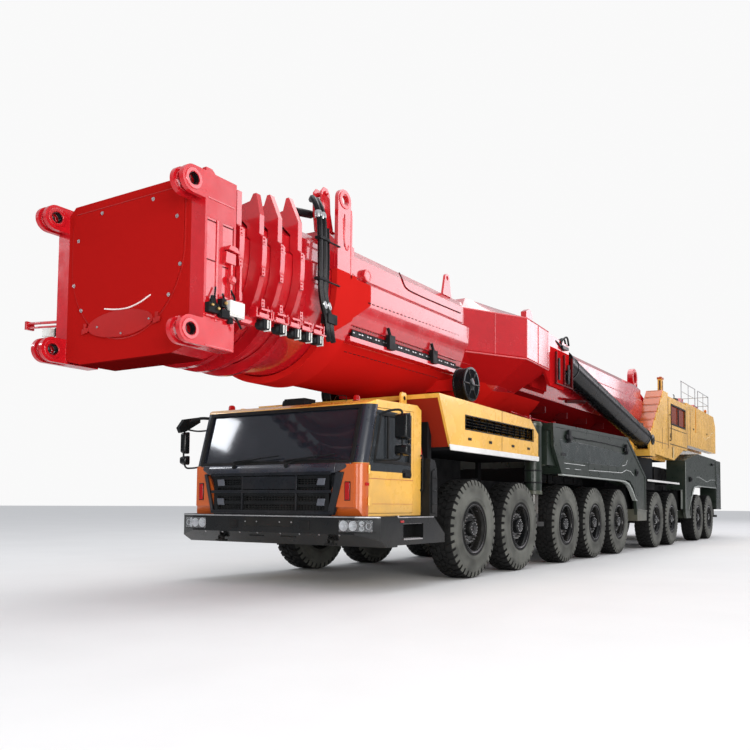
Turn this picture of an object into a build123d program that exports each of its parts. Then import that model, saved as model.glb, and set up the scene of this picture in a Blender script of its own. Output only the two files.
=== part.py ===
"""Nine-axle all-terrain telescopic crane with star outriggers, parked with its boom down.

Row frame in millimetres: +X forward, +Y to the vehicle's left, +Z up, origin on the
ground under the middle of the whole crane.
"""
import math
import os

from build123d import *

os.makedirs("parts", exist_ok=True)

# ---------------------------------------------------------------- driving dimensions
seat_gap = 0.3                 # between pieces that rest on each other
running_gap = 0.8              # between a pin or spindle and its bore
left_right = (("left", 1), ("right", -1))

# Wheels and axles
first_axle_x = 7350.0
axle_table = (
    # distance behind the axle in front, steered
    (0.0, True), (1700.0, True), (2180.0, False), (1700.0, False), (1700.0, False),
    (3330.0, False), (1700.0, False), (3530.0, True), (1700.0, True),
)
tyre_radius = 745.0
tyre_width = 430.0
tyre_shoulder_radius = 690.0
tyre_shoulder_inset = 30.0
tyre_bulge_radius = 540.0
tyre_bead_radius = 345.0
tyre_bead_inset = 45.0
wheel_outer_y = 1680.0
rim_thickness = 30.0
rim_flange_radius = 372.0
rim_flange_width = 18.0
disc_thickness = 28.0
disc_offset = 70.0
hub_radius = 165.0
hub_length = 300.0
hub_cap_radius = 110.0
hub_cap_length = 50.0
spindle_radius = 75.0
spindle_end_clearance = 20.0
hub_face_gap = 10.0

# Axle beams, kingpins and suspension
axle_tube_height = 210.0
axle_tube_length = 190.0
differential_radius = 200.0
differential_half_width = 190.0
kingpin_y = 1120.0
kingpin_boss_radius = 95.0
kingpin_boss_height = 270.0
yoke_plate_thickness = 50.0
yoke_plate_half_length = 110.0
yoke_reach = 80.0
yoke_web_gap = 10.0
strut_y = 690.0
strut_radius = 65.0

# Chassis frame
frame_front_x = 9555.0
frame_nose_x = 8480.0
frame_nose_z = 620.0
frame_nose_slope = 300.0
frame_rear_x = -12050.0
frame_half_width = 480.0
frame_bottom_z = 970.0
frame_top_z = 1560.0
bracket_half_length = 110.0
bracket_thickness = 60.0
ring_base_radius = 1350.0
ring_base_height = 260.0
engine_length = 2300.0
engine_width = 900.0
engine_height = 620.0
engine_x = 6700.0
hitch_length = 220.0
hitch_half_width = 140.0
hitch_height = 260.0
hitch_jaw_radius = 45.0

# Slewing axis, boom pivot and luffing cylinders
slew_x = -4100.0
boom_pivot_x = -5050.0
boom_pivot_z = 3800.0
luff_foot_x = -3100.0
luff_foot_z = 2870.0
luff_eye_x = 3400.0
luff_eye_z = 4030.0
luff_y = 1400.0
luff_barrel_radius = 250.0
luff_rod_radius = 140.0
luff_eye_radius = 235.0
luff_eye_width = 300.0
luff_side_gap = 5.0
luff_pin_radius = 90.0
luff_rod_showing = 330.0
luff_rod_inside = 5200.0
luff_neck_half = 190.0

# Boom sections
boom_top_z = 4500.0
boom_arc_z = 3870.0
boom_half_width = 1120.0
boom_fold_z = 4030.0
boom_fold_step = 50.0
boom_corner = 150.0
boom_wall = 20.0
boom_side_gap = 12.0
boom_top_gap = 25.0
boom_base_rear_x = -3950.0
boom_base_front_x = 10200.0
section_rear_step = 250.0
collar_thickness = 70.0
collar_rise = 70.0
horn_length = 260.0
horn_tip_width = 45.0
horn_drop = 25.0
base_collar_length = 420.0
head_rear_x = 11960.0
head_front_x = 12390.0
head_half_width = 1190.0
head_top_z = 4470.0
head_bottom_z = 2760.0
head_belly_z = 2630.0
head_chamfer = 300.0
head_top_chamfer = 250.0
head_belly_run = 500.0
head_pocket_depth = 70.0
head_pocket_low_z = 3150.0
head_pocket_high_z = 4000.0
head_rib = 30.0
cover_radius = 900.0
cover_arc_z = 3780.0
cover_top_z = 4360.0
cover_rise = 15.0
upper_lug_drop = 145.0
lower_lug_rise = 55.0
lug_ear_radius = 140.0
lug_bore_radius = 60.0
lug_ear_thickness = 55.0
lug_ear_gap = 80.0
lug_reach = 160.0
lug_fin_rise = 180.0
lug_fin_length = 80.0
lug_fin_drop = 60.0

# Outriggers
pivot_front_x = -1650.0
pivot_rear_x = -7000.0
pivot_y = 1250.0
pivot_pin_radius = 90.0
pivot_lug_radius = 230.0
arm_inner_y = 1130.0
arm_outer_y = 1680.0
arm_wall = 45.0
arm_side_plate = 60.0
arm_rim_width = 70.0
arm_rim_rise = 14.0
arm_mouth = 500.0
lower_lug_z = 740.0
lower_lug_height = 230.0
bracket_low_z = 985.0
bracket_high_z = 1590.0
upper_lug_z = 1610.0
beam_gap = 15.0
beam_bottom_z = 1850.0
beam_top_z = 2480.0
jack_radius = 160.0
jack_rod_radius = 95.0
jack_foot_radius = 200.0
jack_foot_height = 80.0
jack_foot_z = 720.0
jack_y = 1405.0
jack_barrel_low_z = 1300.0
jack_barrel_high_z = 2600.0
jack_bore_top_z = 2450.0
jack_rod_top_z = 2420.0
front_jack_distance = 6150.0
rear_jack_distance = 4950.0
front_arm_setback = 270.0
front_arm_slant = 440.0
rear_arm_setback = 550.0
arm_box_gap = 20.0
rear_box_reach = 350.0

# Carrier cab
cab_half_width = 1460.0
cab_wall = 60.0
cab_corner_radius = 120.0
cab_rear_x = 8590.0
cab_sill_x = 9950.0
cab_sill_z = 950.0
cab_chin_z = 1060.0
cab_belt_x = 10005.0
cab_belt_z = 1600.0
cab_brow_x = 9800.0
cab_brow_z = 2390.0
cab_brow_run = 120.0
cab_roof_edge_z = 2440.0
cab_roof_rear_x = 8700.0
cab_roof_z = 2470.0
cab_roof_fall = 60.0
panel_gap = 20.0
panel_outer_y = 1370.0
panel_top_y = 1200.0
panel_rise = 220.0
panel_proud = 30.0
door_rear_x = 8790.0
door_front_x = 9850.0
door_top_front_x = 9670.0
door_low_z = 980.0
door_belt_z = 1620.0
door_top_z = 2340.0
door_rear_top_z = 2370.0
door_gap = 8.0
door_hinge_offset = 12.0
door_hinge_radius = 14.0
door_hinge_length = 110.0
door_leaf_length = 60.0
door_hinge_heights = (1080.0, 1480.0)
door_handle_inset = 90.0
door_handle_length = 150.0
door_handle_height = 35.0
door_handle_rise = 25.0
door_handle_z = 1480.0
window_edge = 90.0
window_front_x = 9740.0
window_top_front_x = 9590.0
window_top_z = 2260.0
windshield_low_z = 1640.0
windshield_high_z = 2340.0
windshield_half_width = 1290.0
glass_thickness = 12.0
dash_gap = 40.0
dash_depth = 400.0
dash_lip = 150.0
dash_top_z = 1560.0
seat_x = 9080.0
seat_places = (800.0, 0.0, -800.0)
seat_half_width = 230.0
seat_top_z = 1480.0
seat_back_top_z = 2050.0
seat_back_thickness = 120.0
seat_back_lean = 60.0

# Front bumper, side steps and grille
bumper_front_x = 10060.0
bumper_corner_x = 9940.0
bumper_rear_x = 9560.0
bumper_half_width = 1710.0
bumper_flat_half = 1400.0
bumper_low_z = 560.0
bumper_chin_z = 720.0
bumper_chin_depth = 260.0
bumper_lip = 20.0
lamp_inner_y = 1150.0
lamp_outer_y = 1640.0
lamp_low_z = 750.0
lamp_high_z = 905.0
lamp_depth = 75.0
skirt_rear_x = 8350.0
skirt_slope = 290.0
skirt_width = 230.0
skirt_low_z = 580.0
skirt_rear_top_z = 700.0
skirt_top_z = 930.0
step_rear_x = 8930.0
step_front_x = 9430.0
step_low_z = 650.0
step_high_z = 850.0
step_depth = 160.0
grille_half_width = 1000.0
grille_top_z = 1600.0
grille_frame = 70.0
grille_depth = 45.0
grille_bar_count = 4
grille_bar_height = 40.0

# Engine housing and decks
body_half_width = 1680.0
housing_wall = 40.0
housing_jack_gap = 210.0
housing_low_z = 1930.0
housing_high_z = 2660.0
housing_rear_high_z = 2600.0
housing_rear_drop = 300.0
housing_rear_run = 340.0
housing_front_low_x = 8130.0
housing_front_high_x = 8480.0
slot_low_z = 2230.0
slot_high_z = 2420.0
slot_front_x = 7680.0
slot_rear_x = 5150.0
slot_bar_count = 9
slot_bar_half = 12.0
deck_thickness = 50.0
deck_edge = 60.0
deck_clearance = 10.0
ring_deck_rear_x = -5830.0
ring_deck_front_x = -2350.0
ring_deck_top_z = 1790.0

# ---------------------------------------------------------------- derived places
axles = []
next_axle_x = first_axle_x
for number, (spacing, steered) in enumerate(axle_table, start=1):
    next_axle_x -= spacing
    axles.append((number, next_axle_x, steered))
wheel_y = wheel_outer_y - tyre_width / 2
side_step = boom_wall + boom_side_gap
top_step = boom_wall + boom_top_gap
luff_angle = math.degrees(math.atan2(luff_eye_z - luff_foot_z, luff_eye_x - luff_foot_x))
luff_length = math.hypot(luff_eye_z - luff_foot_z, luff_eye_x - luff_foot_x)


def side_plane(y):
    """Sketch plane seen from the right-hand side: local axes are row X and Z."""
    return Plane(origin=(0, y, 0), x_dir=(1, 0, 0), z_dir=(0, -1, 0))


def cross_plane(x):
    """Sketch plane seen from the front: local axes are row Y and Z."""
    return Plane(origin=(x, 0, 0), x_dir=(0, 1, 0), z_dir=(1, 0, 0))


def outline(*points, mode=Mode.ADD):
    """A filled outline through the points, in the sketch that is open."""
    Polygon(*points, align=None, mode=mode)


def box_between(x0, x1, y0, y1, z0, z1, mode=Mode.ADD):
    """A box between two values on each axis, in the part that is open."""
    with Locations(((x0 + x1) / 2, (y0 + y1) / 2, (z0 + z1) / 2)):
        Box(abs(x1 - x0), abs(y1 - y0), abs(z1 - z0), mode=mode)


def finish(part, name):
    """Label a finished piece and write its file."""
    part.label = name
    export_step(part, f"parts/{name}.step")


# ---------------------------------------------------------------- wheels
def wheel_plane(x, side):
    """Half profile plane of a wheel: local x is the radius, local y points outboard."""
    return Plane(origin=(x, side * wheel_y, tyre_radius), x_dir=(1, 0, 0), z_dir=(0, 0, side))


hub_bore_radius = spindle_radius + running_gap
hub_inner = -hub_length / 2
spindle_tip = hub_length / 2 - spindle_end_clearance
for number, x, steered in axles:
    for side_name, side in left_right:
        spin_axis = Axis((x, side * wheel_y, tyre_radius), (0, 1, 0))
        with BuildPart() as wheel:
            half = tyre_width / 2
            with BuildSketch(wheel_plane(x, side)):
                outline(
                    (tyre_bead_radius, half - tyre_bead_inset),
                    (tyre_bulge_radius, half),
                    (tyre_shoulder_radius, half - tyre_shoulder_inset / 2),
                    (tyre_radius, half - tyre_shoulder_inset * 2),
                    (tyre_radius, -half + tyre_shoulder_inset * 2),
                    (tyre_shoulder_radius, -half + tyre_shoulder_inset / 2),
                    (tyre_bulge_radius, -half),
                    (tyre_bead_radius, -half + tyre_bead_inset),
                )
            revolve(axis=spin_axis)
            rim_half = half - tyre_bead_inset
            rim_radius = tyre_bead_radius - seat_gap
            with BuildSketch(wheel_plane(x, side)):
                outline(
                    (rim_radius, rim_half),
                    (rim_radius, -rim_half),
                    (rim_radius - rim_thickness, -rim_half),
                    (rim_radius - rim_thickness, disc_offset),
                    (hub_radius, disc_offset),
                    (hub_radius, hub_inner),
                    (hub_bore_radius, hub_inner),
                    (hub_bore_radius, hub_length / 2),
                    (0, hub_length / 2),
                    (0, hub_length / 2 + hub_cap_length),
                    (hub_cap_radius, hub_length / 2 + hub_cap_length),
                    (hub_radius, hub_length / 2),
                    (hub_radius, disc_offset + disc_thickness),
                    (rim_radius - rim_thickness, disc_offset + disc_thickness),
                    (rim_radius - rim_thickness, rim_half),
                )
            revolve(axis=spin_axis)
        finish(wheel.part, f"wheel_{number}_{side_name}")

# ---------------------------------------------------------------- knuckles
knuckle_bottom_z = tyre_radius - kingpin_boss_height / 2
steered_places = [(number, x) for number, x, steered in axles if steered]
for number, x in steered_places:
    for side_name, side in left_right:
        with BuildPart() as knuckle:
            with BuildSketch(Plane.XY.offset(knuckle_bottom_z)):
                with Locations((x, side * kingpin_y)):
                    Circle(kingpin_boss_radius)
            extrude(amount=kingpin_boss_height)
            with BuildSketch(side_plane(side * kingpin_y)):
                with Locations((x, tyre_radius)):
                    Circle(spindle_radius)
            extrude(amount=-side * (wheel_y + spindle_tip - kingpin_y))
        finish(knuckle.part, f"knuckle_{number}_{side_name}")

# ---------------------------------------------------------------- axle beams
strut_top_z = frame_top_z - bracket_thickness - seat_gap
yoke_low_z = knuckle_bottom_z - seat_gap - yoke_plate_thickness
yoke_high_z = knuckle_bottom_z + kingpin_boss_height + seat_gap
yoke_web_y = kingpin_y - kingpin_boss_radius - yoke_web_gap
with BuildPart() as axle_beams:
    for number, x, steered in axles:
        tube_half = yoke_web_y if steered else wheel_y + hub_inner - hub_face_gap
        box_between(
            x - axle_tube_length / 2, x + axle_tube_length / 2, -tube_half, tube_half,
            tyre_radius - axle_tube_height / 2, tyre_radius + axle_tube_height / 2,
        )
        with BuildSketch(side_plane(differential_half_width)):
            with Locations((x, tyre_radius)):
                Circle(differential_radius)
        extrude(amount=2 * differential_half_width)
        for side_name, side in left_right:
            with BuildSketch(Plane.XY.offset(tyre_radius)):
                with Locations((x, side * strut_y)):
                    Circle(strut_radius)
            extrude(amount=strut_top_z - tyre_radius)
            if steered:
                box_between(
                    x - yoke_plate_half_length, x + yoke_plate_half_length,
                    side * (yoke_web_y - yoke_plate_thickness), side * yoke_web_y,
                    yoke_low_z, yoke_high_z + yoke_plate_thickness,
                )
                for plate_z in (yoke_low_z, yoke_high_z):
                    box_between(
                        x - yoke_plate_half_length, x + yoke_plate_half_length,
                        side * (yoke_web_y - yoke_plate_thickness), side * (kingpin_y + yoke_reach),
                        plate_z, plate_z + yoke_plate_thickness,
                    )
            else:
                with BuildSketch(side_plane(0)):
                    with Locations((x, tyre_radius)):
                        Circle(spindle_radius)
                extrude(amount=-side * (wheel_y + spindle_tip))
finish(axle_beams.part, "axle_beams")

# ---------------------------------------------------------------- chassis frame
ring_base_top_z = frame_top_z + ring_base_height
with BuildPart() as chassis_frame:
    with BuildSketch(side_plane(frame_half_width)):
        outline((frame_rear_x, frame_bottom_z), (frame_rear_x, frame_top_z),
                (frame_nose_x, frame_top_z), (frame_nose_x, cab_sill_z - seat_gap),
                (frame_front_x, cab_sill_z - seat_gap), (frame_front_x, frame_nose_z),
                (frame_nose_x, frame_nose_z), (frame_nose_x - frame_nose_slope, frame_bottom_z))
    extrude(amount=2 * frame_half_width)
    for number, x, steered in axles:
        box_between(x - bracket_half_length, x + bracket_half_length,
                    -strut_y - bracket_half_length, strut_y + bracket_half_length,
                    frame_top_z - bracket_thickness, frame_top_z)
    with BuildSketch(Plane.XY.offset(frame_top_z)):
        with Locations((slew_x, 0)):
            Circle(ring_base_radius)
    extrude(amount=ring_base_height)
    for pivot_x in (pivot_front_x, pivot_rear_x):
        with BuildSketch(Plane.XY.offset(bracket_low_z)):
            with Locations((pivot_x, 0)):
                Rectangle(2 * pivot_lug_radius, 2 * pivot_y)
            with Locations((pivot_x, pivot_y), (pivot_x, -pivot_y)):
                Circle(pivot_lug_radius)
            with Locations((pivot_x, pivot_y), (pivot_x, -pivot_y)):
                Circle(pivot_pin_radius + running_gap, mode=Mode.SUBTRACT)
        extrude(amount=bracket_high_z - bracket_low_z)
    engine_z = frame_top_z + seat_gap
    box_between(engine_x - engine_length / 2, engine_x + engine_length / 2,
                -engine_width / 2, engine_width / 2, engine_z, engine_z + engine_height)
    with BuildSketch(side_plane(hitch_half_width)):
        outline((frame_rear_x, frame_bottom_z), (frame_rear_x, frame_bottom_z + hitch_height),
                (frame_rear_x - hitch_length, frame_bottom_z + hitch_height / 2),
                (frame_rear_x - hitch_length, frame_bottom_z))
    extrude(amount=2 * hitch_half_width)
    with BuildSketch(Plane.XY.offset(frame_bottom_z)):
        with Locations((frame_rear_x - hitch_length / 2, 0)):
            Circle(hitch_jaw_radius)
    extrude(amount=hitch_height, mode=Mode.SUBTRACT)
finish(chassis_frame.part, "chassis_frame")

# ---------------------------------------------------------------- engine housing and decks
jack_front_x = pivot_front_x + front_jack_distance
housing_rear_x = jack_front_x + jack_foot_radius + housing_jack_gap


def housing_outline(wall):
    """Side outline of the engine housing, open below, with its walls moved in by wall."""
    outline((housing_front_low_x - 2 * wall, housing_low_z),
            (housing_front_high_x - 2 * wall, housing_high_z - wall),
            (housing_rear_x + housing_rear_run + wall, housing_rear_high_z - wall),
            (housing_rear_x + wall, housing_high_z - housing_rear_drop - wall),
            (housing_rear_x + wall, housing_low_z))


housing_inner_half = body_half_width - housing_wall
with BuildPart() as engine_housing:
    with BuildSketch(side_plane(body_half_width)):
        housing_outline(0)
    extrude(amount=2 * body_half_width)
    with BuildSketch(side_plane(housing_inner_half)):
        housing_outline(housing_wall)
    extrude(amount=2 * housing_inner_half, mode=Mode.SUBTRACT)
    box_between(slot_rear_x, slot_front_x, -body_half_width, body_half_width,
                slot_low_z, slot_high_z, mode=Mode.SUBTRACT)
    for side_name, side in left_right:
        for bar in range(1, slot_bar_count + 1):
            bar_x = slot_rear_x + (slot_front_x - slot_rear_x) * bar / (slot_bar_count + 1)
            box_between(bar_x - slot_bar_half, bar_x + slot_bar_half, side * housing_inner_half,
                        side * (body_half_width - slot_bar_half), slot_low_z, slot_high_z)
finish(engine_housing.part, "engine_housing")

deck_tables = (
    # rear x, front x, top z, inner y
    (housing_rear_x, housing_front_low_x, housing_low_z - seat_gap, frame_half_width),
    (ring_deck_rear_x, ring_deck_front_x, ring_deck_top_z, ring_base_radius + deck_clearance),
)
leg_inner_y = frame_half_width + seat_gap
with BuildPart() as deck_panels:
    for rear_x, front_x, top_z, inner_y in deck_tables:
        for side_name, side in left_right:
            box_between(rear_x, front_x, side * inner_y, side * body_half_width,
                        top_z - deck_thickness, top_z)
            for leg_x in (rear_x + deck_edge, front_x - deck_edge):
                box_between(leg_x - deck_edge, leg_x + deck_edge,
                            side * leg_inner_y, side * (frame_half_width + deck_edge),
                            frame_top_z - bracket_thickness, top_z)
                box_between(leg_x - deck_edge, leg_x + deck_edge,
                            side * leg_inner_y, side * (inner_y + deck_edge),
                            top_z - deck_thickness, top_z)
finish(deck_panels.part, "deck_panels")

# ---------------------------------------------------------------- carrier cab
cab_inner_half = cab_half_width - cab_wall
cab_outline = (
    (cab_rear_x, cab_sill_z), (cab_sill_x, cab_sill_z), (cab_belt_x, cab_chin_z),
    (cab_belt_x, cab_belt_z), (cab_brow_x, cab_brow_z), (cab_brow_x - cab_brow_run, cab_roof_edge_z),
    (cab_roof_rear_x, cab_roof_z), (cab_rear_x, cab_roof_z - cab_roof_fall),
)
door_outline = (
    (door_rear_x, door_low_z), (door_front_x, door_low_z), (door_front_x, door_belt_z),
    (door_top_front_x, door_top_z), (door_rear_x, door_rear_top_z),
)
window_outline = (
    (door_rear_x + window_edge, windshield_low_z), (window_front_x, windshield_low_z),
    (window_top_front_x, window_top_z), (door_rear_x + window_edge, window_top_z + window_edge / 4),
)
with BuildPart() as cab_shell:
    with BuildSketch(side_plane(cab_half_width)):
        outline(*cab_outline)
    extrude(amount=2 * cab_half_width)
    front_corners = [
        edge for edge in cab_shell.edges()
        if edge.center().X > cab_brow_x and edge.center().Z > cab_chin_z
        and abs(edge.center().Y) > cab_inner_half
    ]
    fillet(front_corners, cab_corner_radius)
    for side_name, side in left_right:
        with BuildSketch(cross_plane(cab_belt_x - cab_wall / 2)):
            outline((side * (grille_half_width + panel_gap), cab_chin_z),
                    (side * panel_outer_y, cab_chin_z), (side * panel_outer_y, cab_belt_z),
                    (side * panel_top_y, cab_belt_z),
                    (side * (grille_half_width + panel_gap), cab_chin_z + panel_rise))
        extrude(amount=cab_wall / 2 + panel_proud)
    with BuildSketch(side_plane(cab_inner_half)):
        outline(*cab_outline)
        offset(amount=-cab_wall, kind=Kind.INTERSECTION, mode=Mode.REPLACE)
    extrude(amount=2 * cab_inner_half, mode=Mode.SUBTRACT)
    for side_name, side in left_right:
        with BuildSketch(side_plane(side * cab_half_width)):
            outline(*door_outline)
        extrude(amount=side * cab_wall, mode=Mode.SUBTRACT)
    box_between(cab_brow_x - 2 * cab_wall, cab_belt_x + cab_wall, -windshield_half_width,
                windshield_half_width, windshield_low_z, windshield_high_z, mode=Mode.SUBTRACT)
finish(cab_shell.part, "cab_shell")

door_hinge_x = door_front_x + door_hinge_offset
for side_name, side in left_right:
    with BuildPart() as cab_door:
        with BuildSketch(side_plane(side * cab_half_width)):
            outline(*door_outline)
            offset(amount=-door_gap, kind=Kind.INTERSECTION, mode=Mode.REPLACE)
            outline(*window_outline, mode=Mode.SUBTRACT)
        extrude(amount=side * cab_wall)
        with BuildSketch(side_plane(side * (cab_half_width - cab_wall / 2))):
            outline(*window_outline)
            offset(amount=-seat_gap, kind=Kind.INTERSECTION, mode=Mode.REPLACE)
        extrude(amount=side * glass_thickness)
        hinge_y = side * (cab_half_width + seat_gap + door_hinge_radius)
        for hinge_z in door_hinge_heights:
            with BuildSketch(Plane.XY.offset(hinge_z)):
                with Locations((door_hinge_x, hinge_y)):
                    Circle(door_hinge_radius)
            extrude(amount=door_hinge_length)
            box_between(door_front_x - door_leaf_length, door_front_x - door_gap,
                        side * cab_half_width, hinge_y, hinge_z, hinge_z + door_hinge_length)
            box_between(door_front_x - door_gap, door_hinge_x,
                        side * (cab_half_width + seat_gap), hinge_y, hinge_z, hinge_z + door_hinge_length)
        box_between(door_rear_x + door_handle_inset, door_rear_x + door_handle_inset + door_handle_length,
                    side * cab_half_width, side * (cab_half_width + door_handle_rise),
                    door_handle_z, door_handle_z + door_handle_height)
    finish(cab_door.part, f"cab_door_{side_name}")


def windshield_x(z):
    """Inner face of the windscreen at a height, half way into the cab's sloping front."""
    slope = (cab_brow_x - cab_belt_x) / (cab_brow_z - cab_belt_z)
    return cab_belt_x + slope * (z - cab_belt_z) - cab_wall / 2


with BuildPart() as cab_glass:
    with BuildSketch(side_plane(windshield_half_width - seat_gap)):
        low_z = windshield_low_z + seat_gap
        high_z = windshield_high_z - seat_gap
        outline((windshield_x(low_z), low_z), (windshield_x(low_z) + glass_thickness, low_z),
                (windshield_x(high_z) + glass_thickness, high_z), (windshield_x(high_z), high_z))
    extrude(amount=2 * (windshield_half_width - seat_gap))
finish(cab_glass.part, "cab_glass")

floor_z = cab_sill_z + cab_wall + seat_gap
dash_front_x = cab_belt_x - cab_wall - dash_gap
dash_rear_x = dash_front_x - dash_depth
with BuildPart() as cab_interior:
    with BuildSketch(side_plane(cab_inner_half - dash_gap)):
        outline((dash_front_x, floor_z), (dash_front_x, dash_top_z),
                (dash_rear_x + dash_lip, dash_top_z), (dash_rear_x, dash_top_z - dash_lip),
                (dash_rear_x, dash_top_z - 2 * dash_lip), (dash_rear_x + dash_lip, floor_z))
    extrude(amount=2 * (cab_inner_half - dash_gap))
    for seat_y in seat_places:
        with BuildSketch(side_plane(seat_y + seat_half_width)):
            outline((seat_x - seat_half_width, floor_z), (seat_x + seat_half_width, floor_z),
                    (seat_x + seat_half_width, seat_top_z), (seat_x - seat_back_thickness, seat_top_z),
                    (seat_x - seat_half_width - seat_back_lean, seat_back_top_z),
                    (seat_x - seat_half_width - seat_back_thickness, seat_back_top_z),
                    (seat_x - seat_half_width - seat_back_lean / 2, seat_top_z))
        extrude(amount=2 * seat_half_width)
finish(cab_interior.part, "cab_interior")

# ---------------------------------------------------------------- front bumper, side steps and grille
bumper_top_z = cab_sill_z - seat_gap
grille_rear_face_x = cab_belt_x + seat_gap
grille_gap_height = (grille_top_z - bumper_top_z - 2 * grille_frame
                     - grille_bar_count * grille_bar_height) / (grille_bar_count + 1)
with BuildPart() as front_bumper:
    with BuildSketch(Plane.XY.offset(bumper_low_z)):
        outline((bumper_corner_x, bumper_half_width), (bumper_rear_x, bumper_half_width),
                (bumper_rear_x, -bumper_half_width), (bumper_corner_x, -bumper_half_width),
                (bumper_front_x, -bumper_flat_half), (bumper_front_x, bumper_flat_half))
    extrude(amount=bumper_top_z - bumper_low_z)
    with BuildSketch(side_plane(bumper_half_width)):
        outline((bumper_rear_x, bumper_top_z), (bumper_front_x, bumper_top_z),
                (bumper_front_x, bumper_chin_z), (bumper_front_x - bumper_chin_depth, bumper_low_z),
                (bumper_rear_x, bumper_low_z))
    extrude(amount=2 * bumper_half_width, mode=Mode.INTERSECT)
    box_between(grille_rear_face_x, bumper_front_x, -grille_half_width, grille_half_width,
                bumper_top_z - bumper_lip, grille_top_z)
    for gap in range(grille_bar_count + 1):
        gap_z = bumper_top_z + grille_frame + gap * (grille_gap_height + grille_bar_height)
        box_between(bumper_front_x - grille_depth, bumper_front_x,
                    -grille_half_width + grille_frame, grille_half_width - grille_frame,
                    gap_z, gap_z + grille_gap_height, mode=Mode.SUBTRACT)
    for side_name, side in left_right:
        box_between(bumper_front_x - lamp_depth, bumper_front_x,
                    side * lamp_inner_y, side * lamp_outer_y, lamp_low_z, lamp_high_z, mode=Mode.SUBTRACT)
        with BuildSketch(side_plane(side * bumper_half_width)):
            outline((skirt_rear_x, skirt_low_z), (bumper_rear_x, skirt_low_z), (bumper_rear_x, skirt_top_z),
                    (skirt_rear_x + skirt_slope, skirt_top_z), (skirt_rear_x, skirt_rear_top_z))
        extrude(amount=side * skirt_width)
        box_between(step_rear_x, step_front_x, side * (bumper_half_width - step_depth),
                    side * bumper_half_width, step_low_z, step_high_z, mode=Mode.SUBTRACT)
finish(front_bumper.part, "front_bumper")

# ---------------------------------------------------------------- turntable
base_low_z = 2430.0
base_high_z = 2600.0
base_front_x = -2850.0
base_rear_x = -6150.0
base_half_width = 1200.0
tail_half_width = 950.0
tail_low_z = 3050.0
tail_high_z = 3300.0
tail_start_x = -7950.0
tail_rear_x = -12650.0
ring_radius = 1300.0
foot_plate_half_length = 300.0
foot_plate_thickness = 55.0
cheek_inner_y = 975.0
cheek_thickness = 120.0
cheek_boss_radius = 330.0
cheek_front_run = 750.0
cheek_rear_run = 1000.0
tail_overlap = 200.0
pivot_pin = 118.0
with BuildPart() as turntable:
    with BuildSketch(Plane.XY.offset(ring_base_top_z + seat_gap)):
        with Locations((slew_x, 0)):
            Circle(ring_radius)
    extrude(amount=base_low_z - ring_base_top_z - seat_gap)
    box_between(base_rear_x, base_front_x, -base_half_width, base_half_width, base_low_z, base_high_z)
    with BuildSketch(side_plane(tail_half_width)):
        outline((base_rear_x + tail_overlap, base_low_z), (base_rear_x + tail_overlap, base_high_z),
                (base_rear_x, base_high_z),
                (tail_start_x, tail_high_z), (tail_rear_x, tail_high_z), (tail_rear_x, tail_low_z),
                (tail_start_x, tail_low_z), (base_rear_x, base_low_z))
    extrude(amount=2 * tail_half_width)
    luff_lug_inner = luff_y - luff_eye_width / 2 - luff_side_gap - foot_plate_thickness
    luff_lug_outer = luff_y + luff_eye_width / 2 + luff_side_gap
    box_between(luff_foot_x - foot_plate_half_length, base_front_x,
                -luff_lug_outer - foot_plate_thickness, luff_lug_outer + foot_plate_thickness,
                base_low_z, base_high_z)
    for side_name, side in left_right:
        for lug_y in (luff_lug_inner, luff_lug_outer):
            with BuildSketch(side_plane(side * lug_y)):
                with Locations((luff_foot_x, luff_foot_z)):
                    Circle(luff_eye_radius)
                with Locations((luff_foot_x, (luff_foot_z + base_high_z) / 2)):
                    Rectangle(2 * luff_eye_radius, luff_foot_z - base_high_z)
            extrude(amount=-side * foot_plate_thickness)
        with BuildSketch(side_plane(side * luff_lug_inner)):
            with Locations((luff_foot_x, luff_foot_z)):
                Circle(luff_pin_radius)
        extrude(amount=-side * (luff_lug_outer + foot_plate_thickness - luff_lug_inner))
        with BuildSketch(side_plane(side * cheek_inner_y)):
            with Locations((boom_pivot_x, boom_pivot_z)):
                Circle(cheek_boss_radius)
            outline((boom_pivot_x + cheek_front_run, base_high_z),
                    (boom_pivot_x + cheek_boss_radius, boom_pivot_z),
                    (boom_pivot_x - cheek_boss_radius, boom_pivot_z),
                    (boom_pivot_x - cheek_rear_run, base_high_z))
        extrude(amount=-side * cheek_thickness)
    with BuildSketch(side_plane(cheek_inner_y)):
        with Locations((boom_pivot_x, boom_pivot_z)):
            Circle(pivot_pin)
    extrude(amount=2 * cheek_inner_y)
finish(turntable.part, "turntable")

# ---------------------------------------------------------------- machinery house
house_inner_y = base_half_width + seat_gap
house_outer_y = 1480.0
house_front_x = -3460.0
house_front_low_z = 2560.0
house_belly_x = -6100.0
house_belly_z = 2480.0
house_top_z = 4430.0
house_tail_z = 3060.0
house_tail_x = -8000.0
house_rear_top_z = 4390.0
house_rear_run = 300.0
house_corner_radius = 140.0
rear_house_x = -8700.0
rear_house_inset = 60.0
groove_x = -9150.0
groove_half = 75.0
groove_depth = 110.0
groove_low_z = 3560.0
louvre_steps = 6
louvre_front_z = 3000.0
louvre_length = 1500.0
crane_cab_front_x = -5400.0
crane_cab_rear_x = -7800.0
crane_cab_low_z = 2860.0
crane_cab_high_z = 4330.0
crane_cab_inner_y = 1110.0
crane_cab_outer_y = 1490.0
crane_cab_gap = 10.0
crane_cab_wall = 50.0
crane_window_rear = 250.0
crane_window_front = 300.0
crane_window_low_z = 3550.0
crane_window_high_z = 4120.0
crane_screen_low_z = 3300.0
crane_screen_high_z = 4200.0
crane_screen_edge = 100.0
mast_x = -6250.0
mast_half = 95.0
mast_low_z = 4150.0
mast_top_z = 5030.0
mast_inner_y = 985.0
louvre_rise = house_top_z - louvre_front_z
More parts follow.
